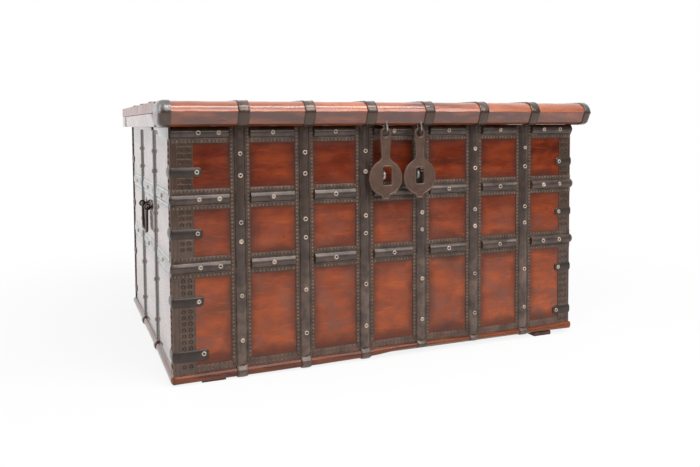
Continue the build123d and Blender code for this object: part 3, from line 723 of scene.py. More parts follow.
def wood_finish(name, light, middle_shade, dark, grain, shadow=None, coat=0.35, rough=(0.30, 0.46), seed=0.0,
                stripes=0.35, wear=None, coat_roughness=0.18, specular=0.5):
    """Old polished hardwood: soft blotches under a long figure, fine streaks, and painted shade beside the
    straps.

    grain is the axis it runs along, shadow what strap_shadow takes, and stripes the figure's share.
    """
    finish = Finish(name)
    slow = {"X": (1.0, 5.5, 5.5), "Y": (5.5, 1.0, 5.5)}[grain]
    fine = {"X": (26.0, 240.0, 240.0), "Y": (240.0, 26.0, 240.0)}[grain]
    offset = (seed, seed * 1.7, seed * 0.6)
    place = finish.stretched(slow, offset)
    figure = finish.noise(2.6, 5.0, 0.6, 1.4, place)
    blotch = finish.noise(8.0, 4.0, 0.6, 0.5, finish.stretched((1.0, 1.0, 1.7), offset))
    arcs = finish.add(
        "ShaderNodeTexWave",
        {"Vector": place, "Scale": 1.9, "Distortion": 7.0, "Detail": 3.0, "Detail Scale": 1.1},
        wave_type="RINGS", rings_direction="SPHERICAL",
    ).outputs["Fac"]
    pores = finish.noise(1.0, 2.0, 0.55, 0.2, finish.stretched(fine))
    coarse = finish.stretched(tuple(v * 0.8 for v in fine), (3.7, 1.3, 9.1))
    streaks = finish.noise(1.0, 2.0, 0.6, 0.3, coarse)
    arcs_share = 0.08
    blotch_share = 1 - arcs_share - stripes
    value = finish.maths("MULTIPLY", figure, stripes)
    value = finish.maths("ADD", value, finish.maths("MULTIPLY", blotch, blotch_share))
    value = finish.maths("ADD", value, finish.maths("MULTIPLY", arcs, arcs_share))
    base = finish.ramp(value, (0.36, dark), (0.49, middle_shade), (0.62, light))
    pale = tuple(min(1.0, c * 1.25 + 0.02) for c in light)
    base = finish.mix(finish.span(streaks, 0.55, 0.74, 0.0, 0.42), base, pale)
    base = finish.mix(finish.span(pores, 0.53, 0.72, 0.0, 0.42), base, faded(dark, 0.5))
    marks = finish.add("ShaderNodeTexVoronoi", {"Vector": finish.place, "Scale": 17.0}).outputs["Distance"]
    base = finish.mix(finish.span(marks, 0.03, 0.10, 0.55, 0.0), base, faded(dark, 0.4))
    dull = finish.maths("MULTIPLY", pores, 0.12)
    if shadow:
        clear = strap_shadow(finish, *shadow)
        base = aged_panel(finish, base, clear)
        dull = finish.maths("ADD", dull, finish.span(clear, 0.0, 1.0, 0.10, 0.0, False))
    # Where given, wear paints light and shade: below the nosing's arris it is painted shade and reflection.
    if wear:
        base = wear(finish, base)
    gloss = finish.maths("ADD", finish.span(blotch, 0.35, 0.65, *rough), dull)
    normal = finish.bump(pores, 0.2 * MM, 0.4)
    normal = finish.bump(figure, 1.4 * MM, 0.4, normal)
    return finish.done(base, gloss, normal, coat=coat, coat_roughness=coat_roughness, specular=specular)


def nosing_wear(finish, base):
    """Painted shade and reflection below the arris, more painted shade at the foot, and a rubbed bright arris.
    """
    wood = bpy.context.scene.chest_wood
    height = finish.height(3.5 * MM)
    # Painted shade and reflection below the arris, in patches.
    below = finish.span(height, arris_z - 2.5 * MM, arris_z + 0.5 * MM, 1.0, 0.0)
    patches = finish.noise(16.0, 4.0, 0.6, 0.3, finish.stretched((0.6, 1.0, 2.0)))
    underside_shade_share = finish.maths("MULTIPLY", below, finish.span(patches, 0.35, 0.6, 0.5, 0.9))
    base = finish.mix(underside_shade_share, base, wood.nosing_dull)
    foot = finish.span(height, nosing_low.z + 1 * MM, nosing_low.z + 9 * MM, 0.65, 0.0)
    # Painted shade along the nosing's foot.
    base = finish.mix(foot, base, wood.nosing_dark)
    away = finish.maths("ABSOLUTE", finish.maths("SUBTRACT", height, arris_z))
    return finish.mix(finish.span(away, 0.4 * MM, 2.4 * MM, 0.85, 0.0), base, wood.nosing_worn)


def iron_finish(name, bright, dark, metallic, rough, rust_share, rust, dents=0.5, coat=0.0, wear=None,
                coat_roughness=0.25):
    """Hand-worked iron: dark scale, rubbed patches, rust blooms, pits and hammer marks."""
    finish = Finish(name)
    patches = finish.noise(30.0, 4.0, 0.62)
    blooms = finish.noise(13.0, 5.0, 0.65, 0.6)
    pits = finish.noise(260.0, 3.0, 0.6)
    hammer = finish.noise(58.0, 1.0, 0.4)
    base = finish.mix(finish.span(patches, 0.30, 0.70), dark, bright)
    base = finish.mix(finish.span(blooms, 0.53, 0.70, 0.0, rust_share), base, rust)
    base = finish.mix(finish.span(pits, 0.58, 0.72, 0.0, 0.45), base, faded(dark, 0.4))
    # Where given, wear darkens the wall straps with height, or paints the lid straps' and caps' shade below the
    # arris.
    if wear:
        base = wear(finish, base)
    gloss = finish.maths("ADD", finish.span(patches, 0.3, 0.7, rough + 0.08, rough - 0.04),
                         finish.span(blooms, 0.53, 0.70, 0.0, 0.14))
    normal = finish.bump(pits, 0.2 * MM, 0.5)
    normal = finish.bump(hammer, 0.9 * MM, dents, normal)
    return finish.done(base, gloss, normal, metallic=metallic, coat=coat, coat_roughness=coat_roughness)


def lid_strap_wear(finish, base):
    """Below the nosing's arris the lid straps and caps get a dull brown painted shade."""
    below = finish.span(finish.height(2.5 * MM), arris_z - 2 * MM, arris_z + 1 * MM, 0.85, 0.0)
    return finish.mix(below, base, faded(bpy.context.scene.chest_iron.flange, 0.75))


def wall_strap_wear(finish, base):
    """The wall straps are blackest high up and greyer towards the floor."""
    above = finish.span(finish.height(60 * MM), 0.22, 0.30, 0.0, 0.55)
    return finish.mix(above, base, faded(bpy.context.scene.chest_iron.strap_dark, 0.5))


finishes = {}


def make_finishes():
    """Every finish of the chest, by a plain name."""
    wood, iron = bpy.context.scene.chest_wood, bpy.context.scene.chest_iron

    def shades(light, dark, share=0.5):
        """The three shades of a figure from its lightest and its darkest."""
        return light, between(Vector(light), Vector(dark), share), dark

    panel = (wood.panel_light, wood.panel_middle, wood.panel_dark)
    moulding = shades(wood.moulding_light, wood.moulding_dark, 0.42)
    nosing = shades(wood.nosing_light, wood.nosing_dark, 0.42)
    lid = shades(wood.lid_light, wood.lid_dark)
    inner = shades(wood.inner_light, wood.inner_dark)
    bearer = Vector(wood.bearer)
    front_shadow = ("X", side_x, strap_places[1] - strap_places[0])
    end_shadow = ("Y", -front_y, side_strap_places[1] - side_strap_places[0])
    woods = (
        ("front", "front_board_wood", panel, "X",
         dict(shadow=front_shadow, coat=0.2, rough=(0.18, 0.28), specular=0.22, coat_roughness=0.08)),
        ("end", "end_board_wood", panel, "Y",
         dict(shadow=end_shadow, coat=0.85, rough=(0.18, 0.28), seed=3.1, coat_roughness=0.06, specular=0.8)),
        ("back", "back_board_wood", panel, "X", dict(seed=5.3)),
        ("moulding", "moulding_wood", moulding, "X",
         dict(coat=0.25, rough=(0.24, 0.40), seed=1.3, stripes=0.6, specular=0.3)),
        ("end_moulding", "end_moulding_wood", moulding, "Y",
         dict(coat=0.8, rough=(0.20, 0.34), seed=2.2, stripes=0.6, coat_roughness=0.08)),
        ("nosing", "nosing_wood", nosing, "X",
         dict(coat=1.0, rough=(0.20, 0.32), seed=1.9, stripes=0.6, wear=nosing_wear, coat_roughness=0.07)),
        ("nosing_foot", "nosing_foot_wood", moulding, "X", dict(coat=0.0, rough=(0.6, 0.75), specular=0.2)),
        ("lid", "lid_board_wood", lid, "X", dict(coat=0.6, rough=(0.24, 0.40), seed=7.7, stripes=0.5)),
        ("rail", "lid_rail_wood", lid, "Y",
         dict(coat=0.9, rough=(0.2, 0.34), seed=4.4, stripes=0.5, coat_roughness=0.08)),
        ("inner", "inner_wood", inner, "X", dict(coat=0.0, rough=(0.62, 0.78), seed=6.1, stripes=0.6)),
        ("bearer", "bearer_wood", (bearer * 1.5, bearer, bearer * 0.5), "Y",
         dict(coat=0.0, rough=(0.6, 0.75), seed=8.8)),
    )
    for key, name, figure, grain, settings in woods:
        finishes[key] = wood_finish(name, *figure, grain, **settings)

    # A plain name, the material's, a bright shade, a dark one or its share of the bright one, and how
    # metallic, how rough and how rusty it is.
    irons = (
        ("strap", "strap_iron", iron.strap, iron.strap_dark, 0.35, 0.36, 0.20,
         dict(dents=0.8, coat=0.4, wear=wall_strap_wear, coat_roughness=0.08)),
        ("clasp", "clasp_iron", iron.clasp, 0.6, 0.5, 0.40, 0.20, dict(coat=0.3)),
        ("cap", "cap_iron", iron.cap, 0.4, 0.7, 0.30, 0.20,
         dict(coat=0.5, wear=lid_strap_wear, coat_roughness=0.10)),
        ("end_strap", "end_strap_iron", iron.strap_dark, 0.4, 0.0, 0.26, 0.0,
         dict(dents=0.12, coat=0.7, coat_roughness=0.06)),
        ("lid_strap", "lid_strap_iron", iron.strap, iron.strap_dark, 0.62, 0.30, 0.20,
         dict(dents=0.4, coat=0.6, wear=lid_strap_wear, coat_roughness=0.12)),
        ("flange", "strap_dirt", iron.flange, 0.55, 0.3, 0.50, 0.3, dict(coat=0.2)),
        ("end_flange", "end_strap_dirt", iron.flange, 0.55, 0.3, 0.26, 0.3,
         dict(dents=0.12, coat=1.0, coat_roughness=0.06)),
        ("bead", "bead_metal", iron.bead, 0.6, 0.45, 0.42, 0.25, {}),
        ("plate", "plate_iron", iron.plate, 0.6, 0.4, 0.36, 0.30,
         dict(dents=0.2, coat=0.8, coat_roughness=0.08)),
        ("boss", "boss_metal", faded(iron.plate, 1.45), iron.plate, 0.4, 0.42, 0.30, {}),
        ("strip", "foot_strip_iron", iron.strip, 0.6, 0.3, 0.5, 0.3, {}),
        ("nail", "nail_metal", iron.nail, 0.62, 0.25, 0.32, 0.35,
         dict(rust=faded(iron.nail, 0.45), dents=0.3)),
        ("nail_dull", "nail_dull_metal", faded(iron.nail, 0.5), faded(iron.nail, 0.25), 0.25, 0.45, 0.35,
         dict(dents=0.3)),
        ("nail_eye", "nail_eye_metal", iron.nail_eye, 0.5, 0.3, 0.55, 0.4, {}),
        ("hasp", "hasp_iron", iron.hasp, 0.66, 0.4, 0.46, 0.35, {}),
        ("hasp_rim", "hasp_rim_iron", iron.hasp_worn, 0.6, 0.45, 0.40, 0.30, {}),
        ("bright", "staple_iron", iron.staple, 0.45, 0.8, 0.28, 0.3, dict(rust=faded(iron.staple, 0.4))),
    )
    for key, name, bright, dark, metallic, rough, rusty, settings in irons:
        dark = faded(bright, dark) if isinstance(dark, float) else dark
        settings = {"rust": iron.rust, **settings}
        finishes[key] = iron_finish(name, bright, dark, metallic, rough, rusty, **settings)


# ---- woodwork ------------------------------------------------------------------------------
class CHEST_OT_boards(bpy.types.Operator):
    """Finish the wall boards and everything inside, and cut the planks of the back"""
    bl_idname = "chest.boards"
    bl_label = "Boards"

    def execute(self, context):
        dress("front_boards", "front")
        for node in ("left_end_boards", "right_end_boards"):
            dress(node, "end")
        for node in ("floor_boards", "corner_posts", "lid_battens"):
            dress(node, "inner")
        dress("back_sill", "back")
        chance = random.Random(11)
        back = Shape()
        planks(back, *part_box("back_boards"), "X", split=2, count=3, wear=1.2 * MM, chance=chance)
        back.piece("back_planks", ["back"], "chest", "panel_wood", "back_boards")
        for side in ("left", "right"):
            bearer = Shape()
            plank(bearer, *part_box(f"{side}_bearer"), "Y", 1.5 * MM, chance)
            bearer.piece(f"{side}_bearer_plank", ["bearer"], "chest", "inner_wood", f"{side}_bearer")
        return {"FINISHED"}


# Places along the front, and how far the base's top edge and its underside hang down there, in millimetres.
SAG = (
    (-600, 8.5, 9.5), (-510, 8.5, 8.6), (-418, 7.5, 8.4), (-250, 6.5, 7.5), (-84, 5.5, 5.5),
    (10, 3.5, -2.0), (84, 2.5, -4.0), (250, 5.5, -3.5), (418, 5.0, -1.5), (600, 1.0, 0.5),
)
MOULDING_BEND = 15 * MM  # radius of the base moulding's worn corners
MITRE_TURNS = [math.radians(turn) for turn in (0, 12, 24, 35, 45)]
MITRE_PLACE = 600 * MM  # the ends' mouldings start with the sag at this place along the front
BED = 51 * MM  # how far the base moulding reaches in under the walls


def foot_line(x):
    """How far the old base hangs down at a place along the front, for its top edge and for its underside."""
    x = min(max(x / MM, SAG[0][0] + 1), SAG[-1][0] - 1)
    n = max(k for k, (place, _, _) in enumerate(SAG) if place <= x)
    (start, *drops), (end, *next_drops) = SAG[n:n + 2]
    share = (x - start) / (end - start)
    share = share * share * (3 - 2 * share)
    return [between(drop, next_drop, share) * MM for drop, next_drop in zip(drops, next_drops)]


def sagged(x, reach, z, share=1.0):
    """A height on the base's nose, let down with the bend of the old base; under the walls it stays."""
    if reach <= 0:
        return z
    top, bottom = foot_line(x)
    return z - between(bottom, top, (z - floor_gap) / moulding_height) * share


def moulding_section():
    """The base moulding's section as (distance out of the box, height): a slightly flattened half round."""
    half = moulding_height / 2
    nose, flat = moulding_reach - half, moulding_reach - half - 6 * MM
    section = [(-BED, floor_gap), (flat, floor_gap)]
    for turn in (math.radians(-90 + 15 * n) for n in range(13)):
        out = nose + half * math.cos(turn) ** 0.86 if math.cos(turn) > 0 else nose
        section.append((out, moulding_middle + half * math.sin(turn)))
    return section + [(flat, wall_foot), (-BED, wall_foot)]


def mitred(section, turn):
    """A moulding's section drawn in to the walls where its worn corner has turned by an angle."""
    reach = (moulding_reach - MOULDING_BEND + MOULDING_BEND * math.cos(turn)) / moulding_reach
    return [(out * reach if out > 0 else out, z) for out, z in section]


class CHEST_OT_mouldings(bpy.types.Operator):
    """Run the rounded base moulding round the front and both ends"""
    bl_idname = "chest.mouldings"
    bl_label = "Base mouldings"

    def execute(self, context):
        chance = random.Random(5)
        section = moulding_section()
        reach = moulding_reach - MOULDING_BEND
        mitre = [(side_x + reach + MOULDING_BEND * math.sin(turn), turn) for turn in MITRE_TURNS]
        places = [(-x, turn) for x, turn in reversed(mitre)]
        places += [(between(-0.95, 0.95, n / 26) * side_x, 0.0) for n in range(27)]
        places += mitre
        front, rows = Shape(), []
        for x, turn in places:
            sway = 0.0 if turn else chance.random() * 0.7 * MM
            row = []
            for out, z in mitred(section, turn):
                along = x * (side_x + out) / side_x
                if abs(x) > 0.96 * side_x:
                    along = math.copysign(min(abs(x), side_x + out), x)
                row.append(Vector((along, front_y - out + (sway if out > 0 else 0), sagged(x, out, z))))
            rows.append(row)
        front.skin(rows)
        front.welded().piece("front_base_moulding", ["moulding"], "chest", "moulding_wood", "front_moulding")
        sag_reach = 300 * MM  # the ends' sag is gone this far behind the front
        for way, side in ((1, "right"), (-1, "left")):
            turns = reversed(MITRE_TURNS)
            places = [(front_y - reach - MOULDING_BEND * math.sin(turn), turn) for turn in turns]
            places += [(between(front_y + 30 * MM, back_y, n / 16), 0.0) for n in range(17)]
            run, rows = Shape(), []
            for y, turn in places:
                share = 1 - min(max((y - front_y) / sag_reach, 0.0), 1.0)
                sway = 0.0 if turn else chance.random() * 0.6 * MM
                row = []
                for out, z in mitred(section, turn):
                    along = max(y, front_y - out)
                    if y > front_y + 20 * MM:
                        along = between(front_y - out, back_y, (y - front_y) / (back_y - front_y))
                    x = way * (side_x + out - (sway if out > 0 else 0))
                    row.append(Vector((x, along, sagged(way * MITRE_PLACE, out, z, share))))
                rows.append(row)
            run.skin(rows)
            name = f"{side}_base_moulding"
            run.welded().piece(name, ["end_moulding"], "chest", "moulding_wood", f"{side}_moulding")
        return {"FINISHED"}


ARRIS_POINT = 5  # the arris among the points of nosing_line


def nosing_line(lift=0.0):
    """The nosing's face from its foot round to its top as (Y, Z): a round brow over a flatter bevel."""
    radius = (nosing_high.z - nosing_low.z) / 2
    centre_y, centre_z = nosing_low.y + radius, nosing_low.z + radius
    line = [(centre_y, nosing_low.z), (centre_y - 9 * MM, nosing_low.z + 1.5 * MM)]
    edge_y, edge_z = centre_y + radius * math.cos(arris_turn), arris_z
    foot_y, foot_z = centre_y - 17 * MM, nosing_low.z + 5.4 * MM
    for share in (0.0, 0.33, 0.66, 1.0):
        belly = 1.1 * MM * math.sin(math.pi * share)
        line.append((between(foot_y, edge_y, share) - belly, between(foot_z, edge_z, share)))
    line += circle((centre_y, centre_z), radius, (151, 141, 131, 121, 111, 101, 93))
    line.append((centre_y, nosing_high.z))
    if not lift:
        return line
    raised = []
    for n, (y, z) in enumerate(line):
        y0, z0 = line[max(n - 1, 0)]
        y1, z1 = line[min(n + 1, len(line) - 1)]
        across = Vector((z0 - z1, y1 - y0)).normalized()
        raised.append((y + across.x * lift, z + across.y * lift))
    return raised


def nosing_row(x, line, shrink, waver=0.0):
    """One section of the nosing or its cap, drawn in towards its middle; waver lifts its arris."""
    row = []
    for y, z in line:
        inwards = math.copysign(min(shrink, abs(z - nosing_middle)), nosing_middle - z)
        row.append(Vector((x, y + shrink, z + inwards)))
    row[ARRIS_POINT].z += waver
    return row + [Vector((x, nosing_high.y, row[-1].z)), Vector((x, nosing_high.y, row[0].z))]


class CHEST_OT_nosing(bpy.types.Operator):
    """Shape the bullnosed front of the lid and the iron cap on each of its ends"""
    bl_idname = "chest.nosing"
    bl_label = "Nosing and caps"

    def execute(self, context):
        chance = random.Random(3)
        line = nosing_line()
        nosing, rows, count = Shape(), [], 60
        reach = nosing_high.x - 9 * MM  # it ends inside the caps
        for n in range(count + 1):
            sway = chance.random() * 0.7 * MM
            waver = (chance.random() - 0.5) * 2.0 * MM
            rows.append(nosing_row(between(-reach, reach, n / count), line, sway, waver))
        nosing.skin(rows, lambda _, column: int(column < 2 or column > len(line)))
        nosing.piece("nosing", ["nosing", "nosing_foot"], "lid", "moulding_wood", "lid_nosing", crease=28.0)

        cap = Shape()
        outer = nosing_line(cap_high.x - nosing_high.x)
        bend = 15 * MM
        rows = [nosing_row(cap_low.x, line, 0.5 * MM), nosing_row(cap_low.x, outer, 0.2 * MM),
                nosing_row(cap_low.x + 2 * MM, outer, 0.0)]
        for n in range(8):
            turn = math.radians(90 * n / 7)
            x = cap_high.x - bend + bend * math.sin(turn)
            rows.append(nosing_row(x, outer, bend * (1 - math.cos(turn))))
        cap.skin(rows)
        cap.pair("{}_cap", ["cap"], "lid", "strap_iron", "{}_nosing_cap")
        return {"FINISHED"}


class CHEST_OT_lid(bpy.types.Operator):
    """Lay the lid's planks, its end rails and the fixed board behind the hinges"""
    bl_idname = "chest.lid"
    bl_label = "Lid boards"

    def execute(self, context):
        chance = random.Random(7)
        boards = Shape()
        planks(boards, lid_low, lid_high, "X", split=1, count=4, wear=1.8 * MM, chance=chance)
        boards.piece("lid_planks", ["lid"], "lid", "lid_wood", "lid_boards")
        rear = Shape()
        plank(rear, rear_low, rear_high, "X", 1.8 * MM, chance)
        rear.piece("rear_plank", ["lid"], "chest", "lid_wood", "rear_top_board")

        rail = Shape()
        heel = 14 * MM  # radius of the rail's lower back corner
        wear = 1.6 * MM
        places = [(rail_low.y, 0.8 * wear, 0.0), (rail_low.y + wear, 0.0, 0.0)]
        for n in range(1, 9):
            places.append((between(rail_low.y, rail_high.y - heel, n / 8), chance.random() * SWAY, 0.0))
        for turn in (20, 40, 60, 75, 90):
            angle = math.radians(turn)
            y = rail_high.y - heel + heel * math.sin(angle)
            places.append((y, 0.8 * wear if turn == 90 else 0.0, heel * (1 - math.cos(angle))))
        rows = []
        for y, shrink, rise in places:
            section = soft_box(rail_low.x + shrink, rail_high.x - shrink, rail_low.z + shrink + rise,
                               rail_high.z - 0.2 * MM, wear)
            rows.append([Vector((x, y, z)) for x, z in section])
        rail.skin(rows)
        rail.pair("{}_rail", ["rail"], "lid", "lid_wood", "{}_lid_rail")

        rails = Shape()
        low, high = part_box("rear_rails")
        cross_low = Vector((-rail_low.x, back_y - 22 * MM, low.z))
        plank(rails, cross_low, Vector((rail_low.x, back_y, high.z)), "X", wear, chance)
        for x0, x1 in ((rail_low.x, rail_high.x), (-rail_high.x, -rail_low.x)):
            plank(rails, Vector((x0, low.y, low.z)), Vector((x1, high.y, high.z)), "Y", wear, chance)
        rails.piece("rear_rail_planks", ["rail"], "chest", "lid_wood", "rear_rails")
        return {"FINISHED"}


# ---- pressed straps ------------------------------------------------------------------------
CROWN_SHARES = (0.97, 0.9, 0.78, 0.62, 0.44, 0.24, 0.08)  # of a crown's half width, from its edge in
SUNK = -0.4 * MM  # an iron's back lies this far in the wood, so that no gap shows


def strap_profile(lift=1.0, foot=0.0):
    """A pressed strap's closed section.

    lift scales its height, and foot turns it from the wide beaded section to the plain one below.
    """
    sizes = bpy.context.scene.chest_straps
    half, crown = sizes.width / 2, sizes.crown_width / 2
    bed, top = sizes.flange_lift, sizes.crown_lift
    wide = [(half, 0.3 * MM), (half - 0.3 * MM, bed - 0.5 * MM), (half - 1.2 * MM, bed),
            (crown + 1.8 * MM, bed), (crown + 0.5 * MM, bed - 0.5 * MM)]
    for share in CROWN_SHARES:
        wide.append((crown * share, bed + (top - bed) * (1 - share ** 2) ** 0.7))
    plain_half, plain_top = crown + 1 * MM, 3.4 * MM
    plain = [(plain_half, 0.3 * MM), (plain_half, 1.0 * MM), (plain_half - 0.4 * MM, 1.7 * MM),
             (plain_half - 1.4 * MM, 2.1 * MM), (plain_half - 2.8 * MM, 2.1 * MM)]
    for share in CROWN_SHARES:
        across = share * 0.8
        plain.append((plain_half * across, 1.7 * MM + (plain_top - 1.7 * MM) * (1 - across ** 2) ** 0.5))
    mixed = [(between(a[0], b[0], foot), between(a[1], b[1], foot) * lift) for a, b in zip(wide, plain)]
    edge = mixed[0][0]
    return mixed + [(-v, h) for v, h in reversed(mixed)] + [(-edge, SUNK), (edge, SUNK)]


def strap_face(_, column):
    """Flange faces are dirty and crown faces rubbed: 0 is iron and 1 is dirt."""
    return 0 if 4 <= column <= 4 + 2 * len(CROWN_SHARES) else 1


def lay_beads(shape, places, side, lines, lift=1.0):
    """Beads along a strap: places are (point, along, out), lines the distances from its middle."""
    sizes = bpy.context.scene.chest_straps
    first = places[0][0]
    chance = random.Random(round(abs(first.x * 977 + first.y * 613 + first.z * 389) * 1000))
    for point, along, out in places:
        for line in lines:
            slip = (chance.random() - 0.5) * 1.2 * MM
            size = 0.84 + 0.28 * chance.random()
            centre = point + along * slip + side * line + out * (sizes.flange_lift * lift - 0.2 * MM)
            dome(shape, centre, along, side, out, sizes.bead_radius * size, sizes.bead_reach * size,
                 sizes.bead_lift * lift * (0.7 + 0.4 * chance.random()), 2)


def beside(places, *reaches):
    """Places at some reaches to each side of others."""
    return {place + way * reach for place in places for way in (-1, 1) for reach in reaches}


def lay_band(shape, low, high, height, crossings, cut_top=None, lift=1.0):
    """A strap along the walls between two runs, flattened where others pass over it."""
    sizes = bpy.context.scene.chest_straps
    half = sizes.width / 2
    runs = set(corner_steps(low, high))
    runs |= {between(low, high, n / 30) for n in range(31)}
    runs |= beside(crossings, half - 0.4 * MM, half + 1.6 * MM)
    chance = random.Random(round(height * 1000) + round(high * 1000))
    stations = []
    for run in within(runs, low, high):
        point, _, out = wall_point(run, height)
        away = min([abs(run - place) for place in crossings] or [1.0])
        flat = min(max((away - half + 0.4 * MM) / (2.0 * MM), 0.0), 1.0)
        sway = 1.0 if run in (low, high) else 0.97 + 0.05 * chance.random()
        profile = strap_profile(between(sizes.crossing_lift, sway * lift, flat))
        if cut_top is not None:
            profile = [(min(v, cut_top - height), h) for v, h in profile]
        stations.append((point, UP, out, profile))
    ribbon(shape, stations, strap_face)
    places = []
    for run in steps(low, high, sizes.bead_pitch):
        if all(abs(run - place) > half + 1.0 * MM for place in crossings):
            places.append(wall_point(run, height))
    lines = (-sizes.bead_set,) if cut_top is not None else (-sizes.bead_set, sizes.bead_set)
    lay_beads(shape, places, UP, lines, lift)


def stand_strap(shape, wall, place, top, crossings, foot_sags=False, lift=1.0):
    """A strap down a wall and round the base moulding; wall is (foot point, across, out)."""
    sizes = bpy.context.scene.chest_straps
    base, across, out = wall
    foot_start = wall_foot + 12 * MM
    heights = {top, foot_start} | {between(foot_start, top, n / 16) for n in range(17)}
    heights |= beside(crossings, 0.0, 12 * MM, 24 * MM)
    heights = sorted((z for z in heights if foot_start <= z <= top), reverse=True)
    chance = random.Random(round((place + 2) * 1000))
    points, profiles = [], []
    for z in heights:
        near = min(abs(z - height) for height in crossings)
        dip = sizes.dip * max(0.0, 1 - near / (26 * MM))
        points.append((0.0, z))
        profiles.append(strap_profile((1 - dip - 0.03 * chance.random()) * lift))
    for reach, rise, share in ((0.0, 7.5, 0.35), (0.3, 4.4, 0.7), (1.4, 2.2, 1.0), (3.0, 0.6, 1.0)):
        points.append((reach * MM, wall_foot + rise * MM))
        profiles.append(strap_profile(1.0, share))
    bend = moulding_height / 2
    nose = moulding_reach - bend
    round_nose = circle((nose, moulding_middle), bend, (52, 36, 18, 0, -18, -36, -54, -72, -90))
    round_nose.append((nose - 12 * MM, floor_gap))
    points += round_nose
    profiles += [strap_profile(1.0, 1.0)] * len(round_nose)
    if foot_sags:
        points = [(reach, sagged(place, 1.0, z) if z <= wall_foot + 8 * MM else z) for reach, z in points]
    path = [base + across * place + out * reach + UP * z for reach, z in points]
    ribbon(shape, along_path(path, across, profiles), strap_face)
    beads = steps(foot_start + 4 * MM, top - 2 * MM, sizes.bead_pitch)
    places = [(base + across * place + UP * z, -UP, out) for z in beads]
    lay_beads(shape, places, across, (-sizes.bead_set, sizes.bead_set), lift)


class CHEST_OT_straps(bpy.types.Operator):
    """Press the half-round straps with their beaded edges and lay them round the walls"""
    bl_idname = "chest.straps"
    bl_label = "Wall straps"

    def execute(self, context):
        sizes = context.scene.chest_straps
        irons = ["strap", "flange", "bead"]
        corner = corner_run()
        for name, height in (("upper", upper_band), ("lower", lower_band)):
            band = Shape()
            lay_band(band, -corner, corner, height, strap_places)
            band.piece(f"{name}_band", irons, "chest", "strap_iron", f"front_{name}_band")
        band = Shape()
        lay_band(band, 2 * MM - side_x, side_x - 2 * MM, top_band, strap_places, wall_top)
        band.piece("top_band", irons, "chest", "strap_iron", "front_top_band")
        front = (Vector((0, front_y, 0)), ALONG_X, -ALONG_Y)
        heights = (top_band, upper_band, lower_band)
        for number, place in enumerate(strap_places, start=1):
            strap = Shape()
            stand_strap(strap, front, place, wall_top, heights, True)
            strap.piece(f"standing_strap_{number}", irons, "chest", "strap_iron", f"front_strap_{number}")

        bands = Shape()
        end = end_run(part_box("right_end_bands")[1].y)
        crossings = [end_run(y) for y in side_strap_places]
        for height in (upper_band, lower_band):
            lay_band(bands, corner, end, height, crossings, lift=sizes.end_lift / 2)
        irons = ["end_strap", "end_flange", "bead"]
        bands.pair("{}_bands", irons, "chest", "strap_iron", "{}_end_bands")
        right = (Vector((side_x, 0, 0)), ALONG_Y, ALONG_X)
        straps = Shape()
        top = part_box("right_end_straps")[1].z
        for place in side_strap_places:
            stand_strap(straps, right, place, top, (upper_band, lower_band), lift=sizes.end_lift)
        straps.pair("{}_straps", irons, "chest", "strap_iron", "{}_end_straps")
        return {"FINISHED"}


def lid_profile(share=1.0):
    """A lid strap's closed section: raised edges beside a slightly crowned middle."""
    sizes = bpy.context.scene.chest_straps
    half, lift = sizes.lid_width / 2, sizes.lid_lift * share
    side = [(half, 0.2 * lift), (half - 0.2 * MM, 0.72 * lift), (half - 1.3 * MM, lift),
            (half - 3.0 * MM, lift), (half - 4.3 * MM, 0.62 * lift), (half - 7.0 * MM, 0.66 * lift),
            (1.5 * MM, 0.80 * lift)]
    return side + [(-v, h) for v, h in reversed(side)] + [(-half, SUNK), (half, SUNK)]


class CHEST_OT_lid_straps(bpy.types.Operator):
    """Bend the straps over the nosing and across the lid, with the flat bands under them"""
    bl_idname = "chest.lid_straps"
    bl_label = "Lid straps"

    def execute(self, context):
        sizes = context.scene.chest_straps
        half = sizes.lid_width / 2
        line = nosing_line(-0.1 * MM)
        foot_y, foot_z = line[0]
        low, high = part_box("lid_bands")
        count = 3
        pitch = (high.y - low.y - sizes.lid_width) / (count - 1)
        middles = [low.y + half + pitch * n for n in range(count)]
        run = [nosing_high.y]
        for y in middles:
            run += [y - half - 5 * MM, y - half, y + half, y + half + 5 * MM]
        run.append(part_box("lid_straps")[1].y)
        path = [(foot_y + 14 * MM, foot_z), (foot_y + 7 * MM, foot_z), *line, *((y, lid_high.z) for y in run)]
        straps = Shape()
        for place in strap_places:
            points = [Vector((place, y, z)) for y, z in path]
            ribbon(straps, along_path(points, -ALONG_X, [lid_profile()] * len(points)))
        straps.piece("lid_strap_irons", ["lid_strap"], "lid", "strap_iron", "lid_straps")

        flat = Shape()
        full, hammered = 0.66, 0.3  # shares of a strap's height, the second under a strap and at the ends
        places = {lid_low.x, lid_low.x + 1.5 * MM, lid_high.x - 1.5 * MM, lid_high.x}
        places |= beside(strap_places, half - 1 * MM, half + 4 * MM)
        for y in middles:
            stations = []
            for x in sorted(places):
                under = min(abs(x - place) for place in strap_places) < half
                share = hammered if under or x in (lid_low.x, lid_high.x) else full
                stations.append((Vector((x, y, lid_high.z)), ALONG_Y, UP, lid_profile(share)))
            ribbon(flat, stations)
        flat.piece("lid_band_irons", ["strap"], "lid", "strap_iron", "lid_bands")
        return {"FINISHED"}


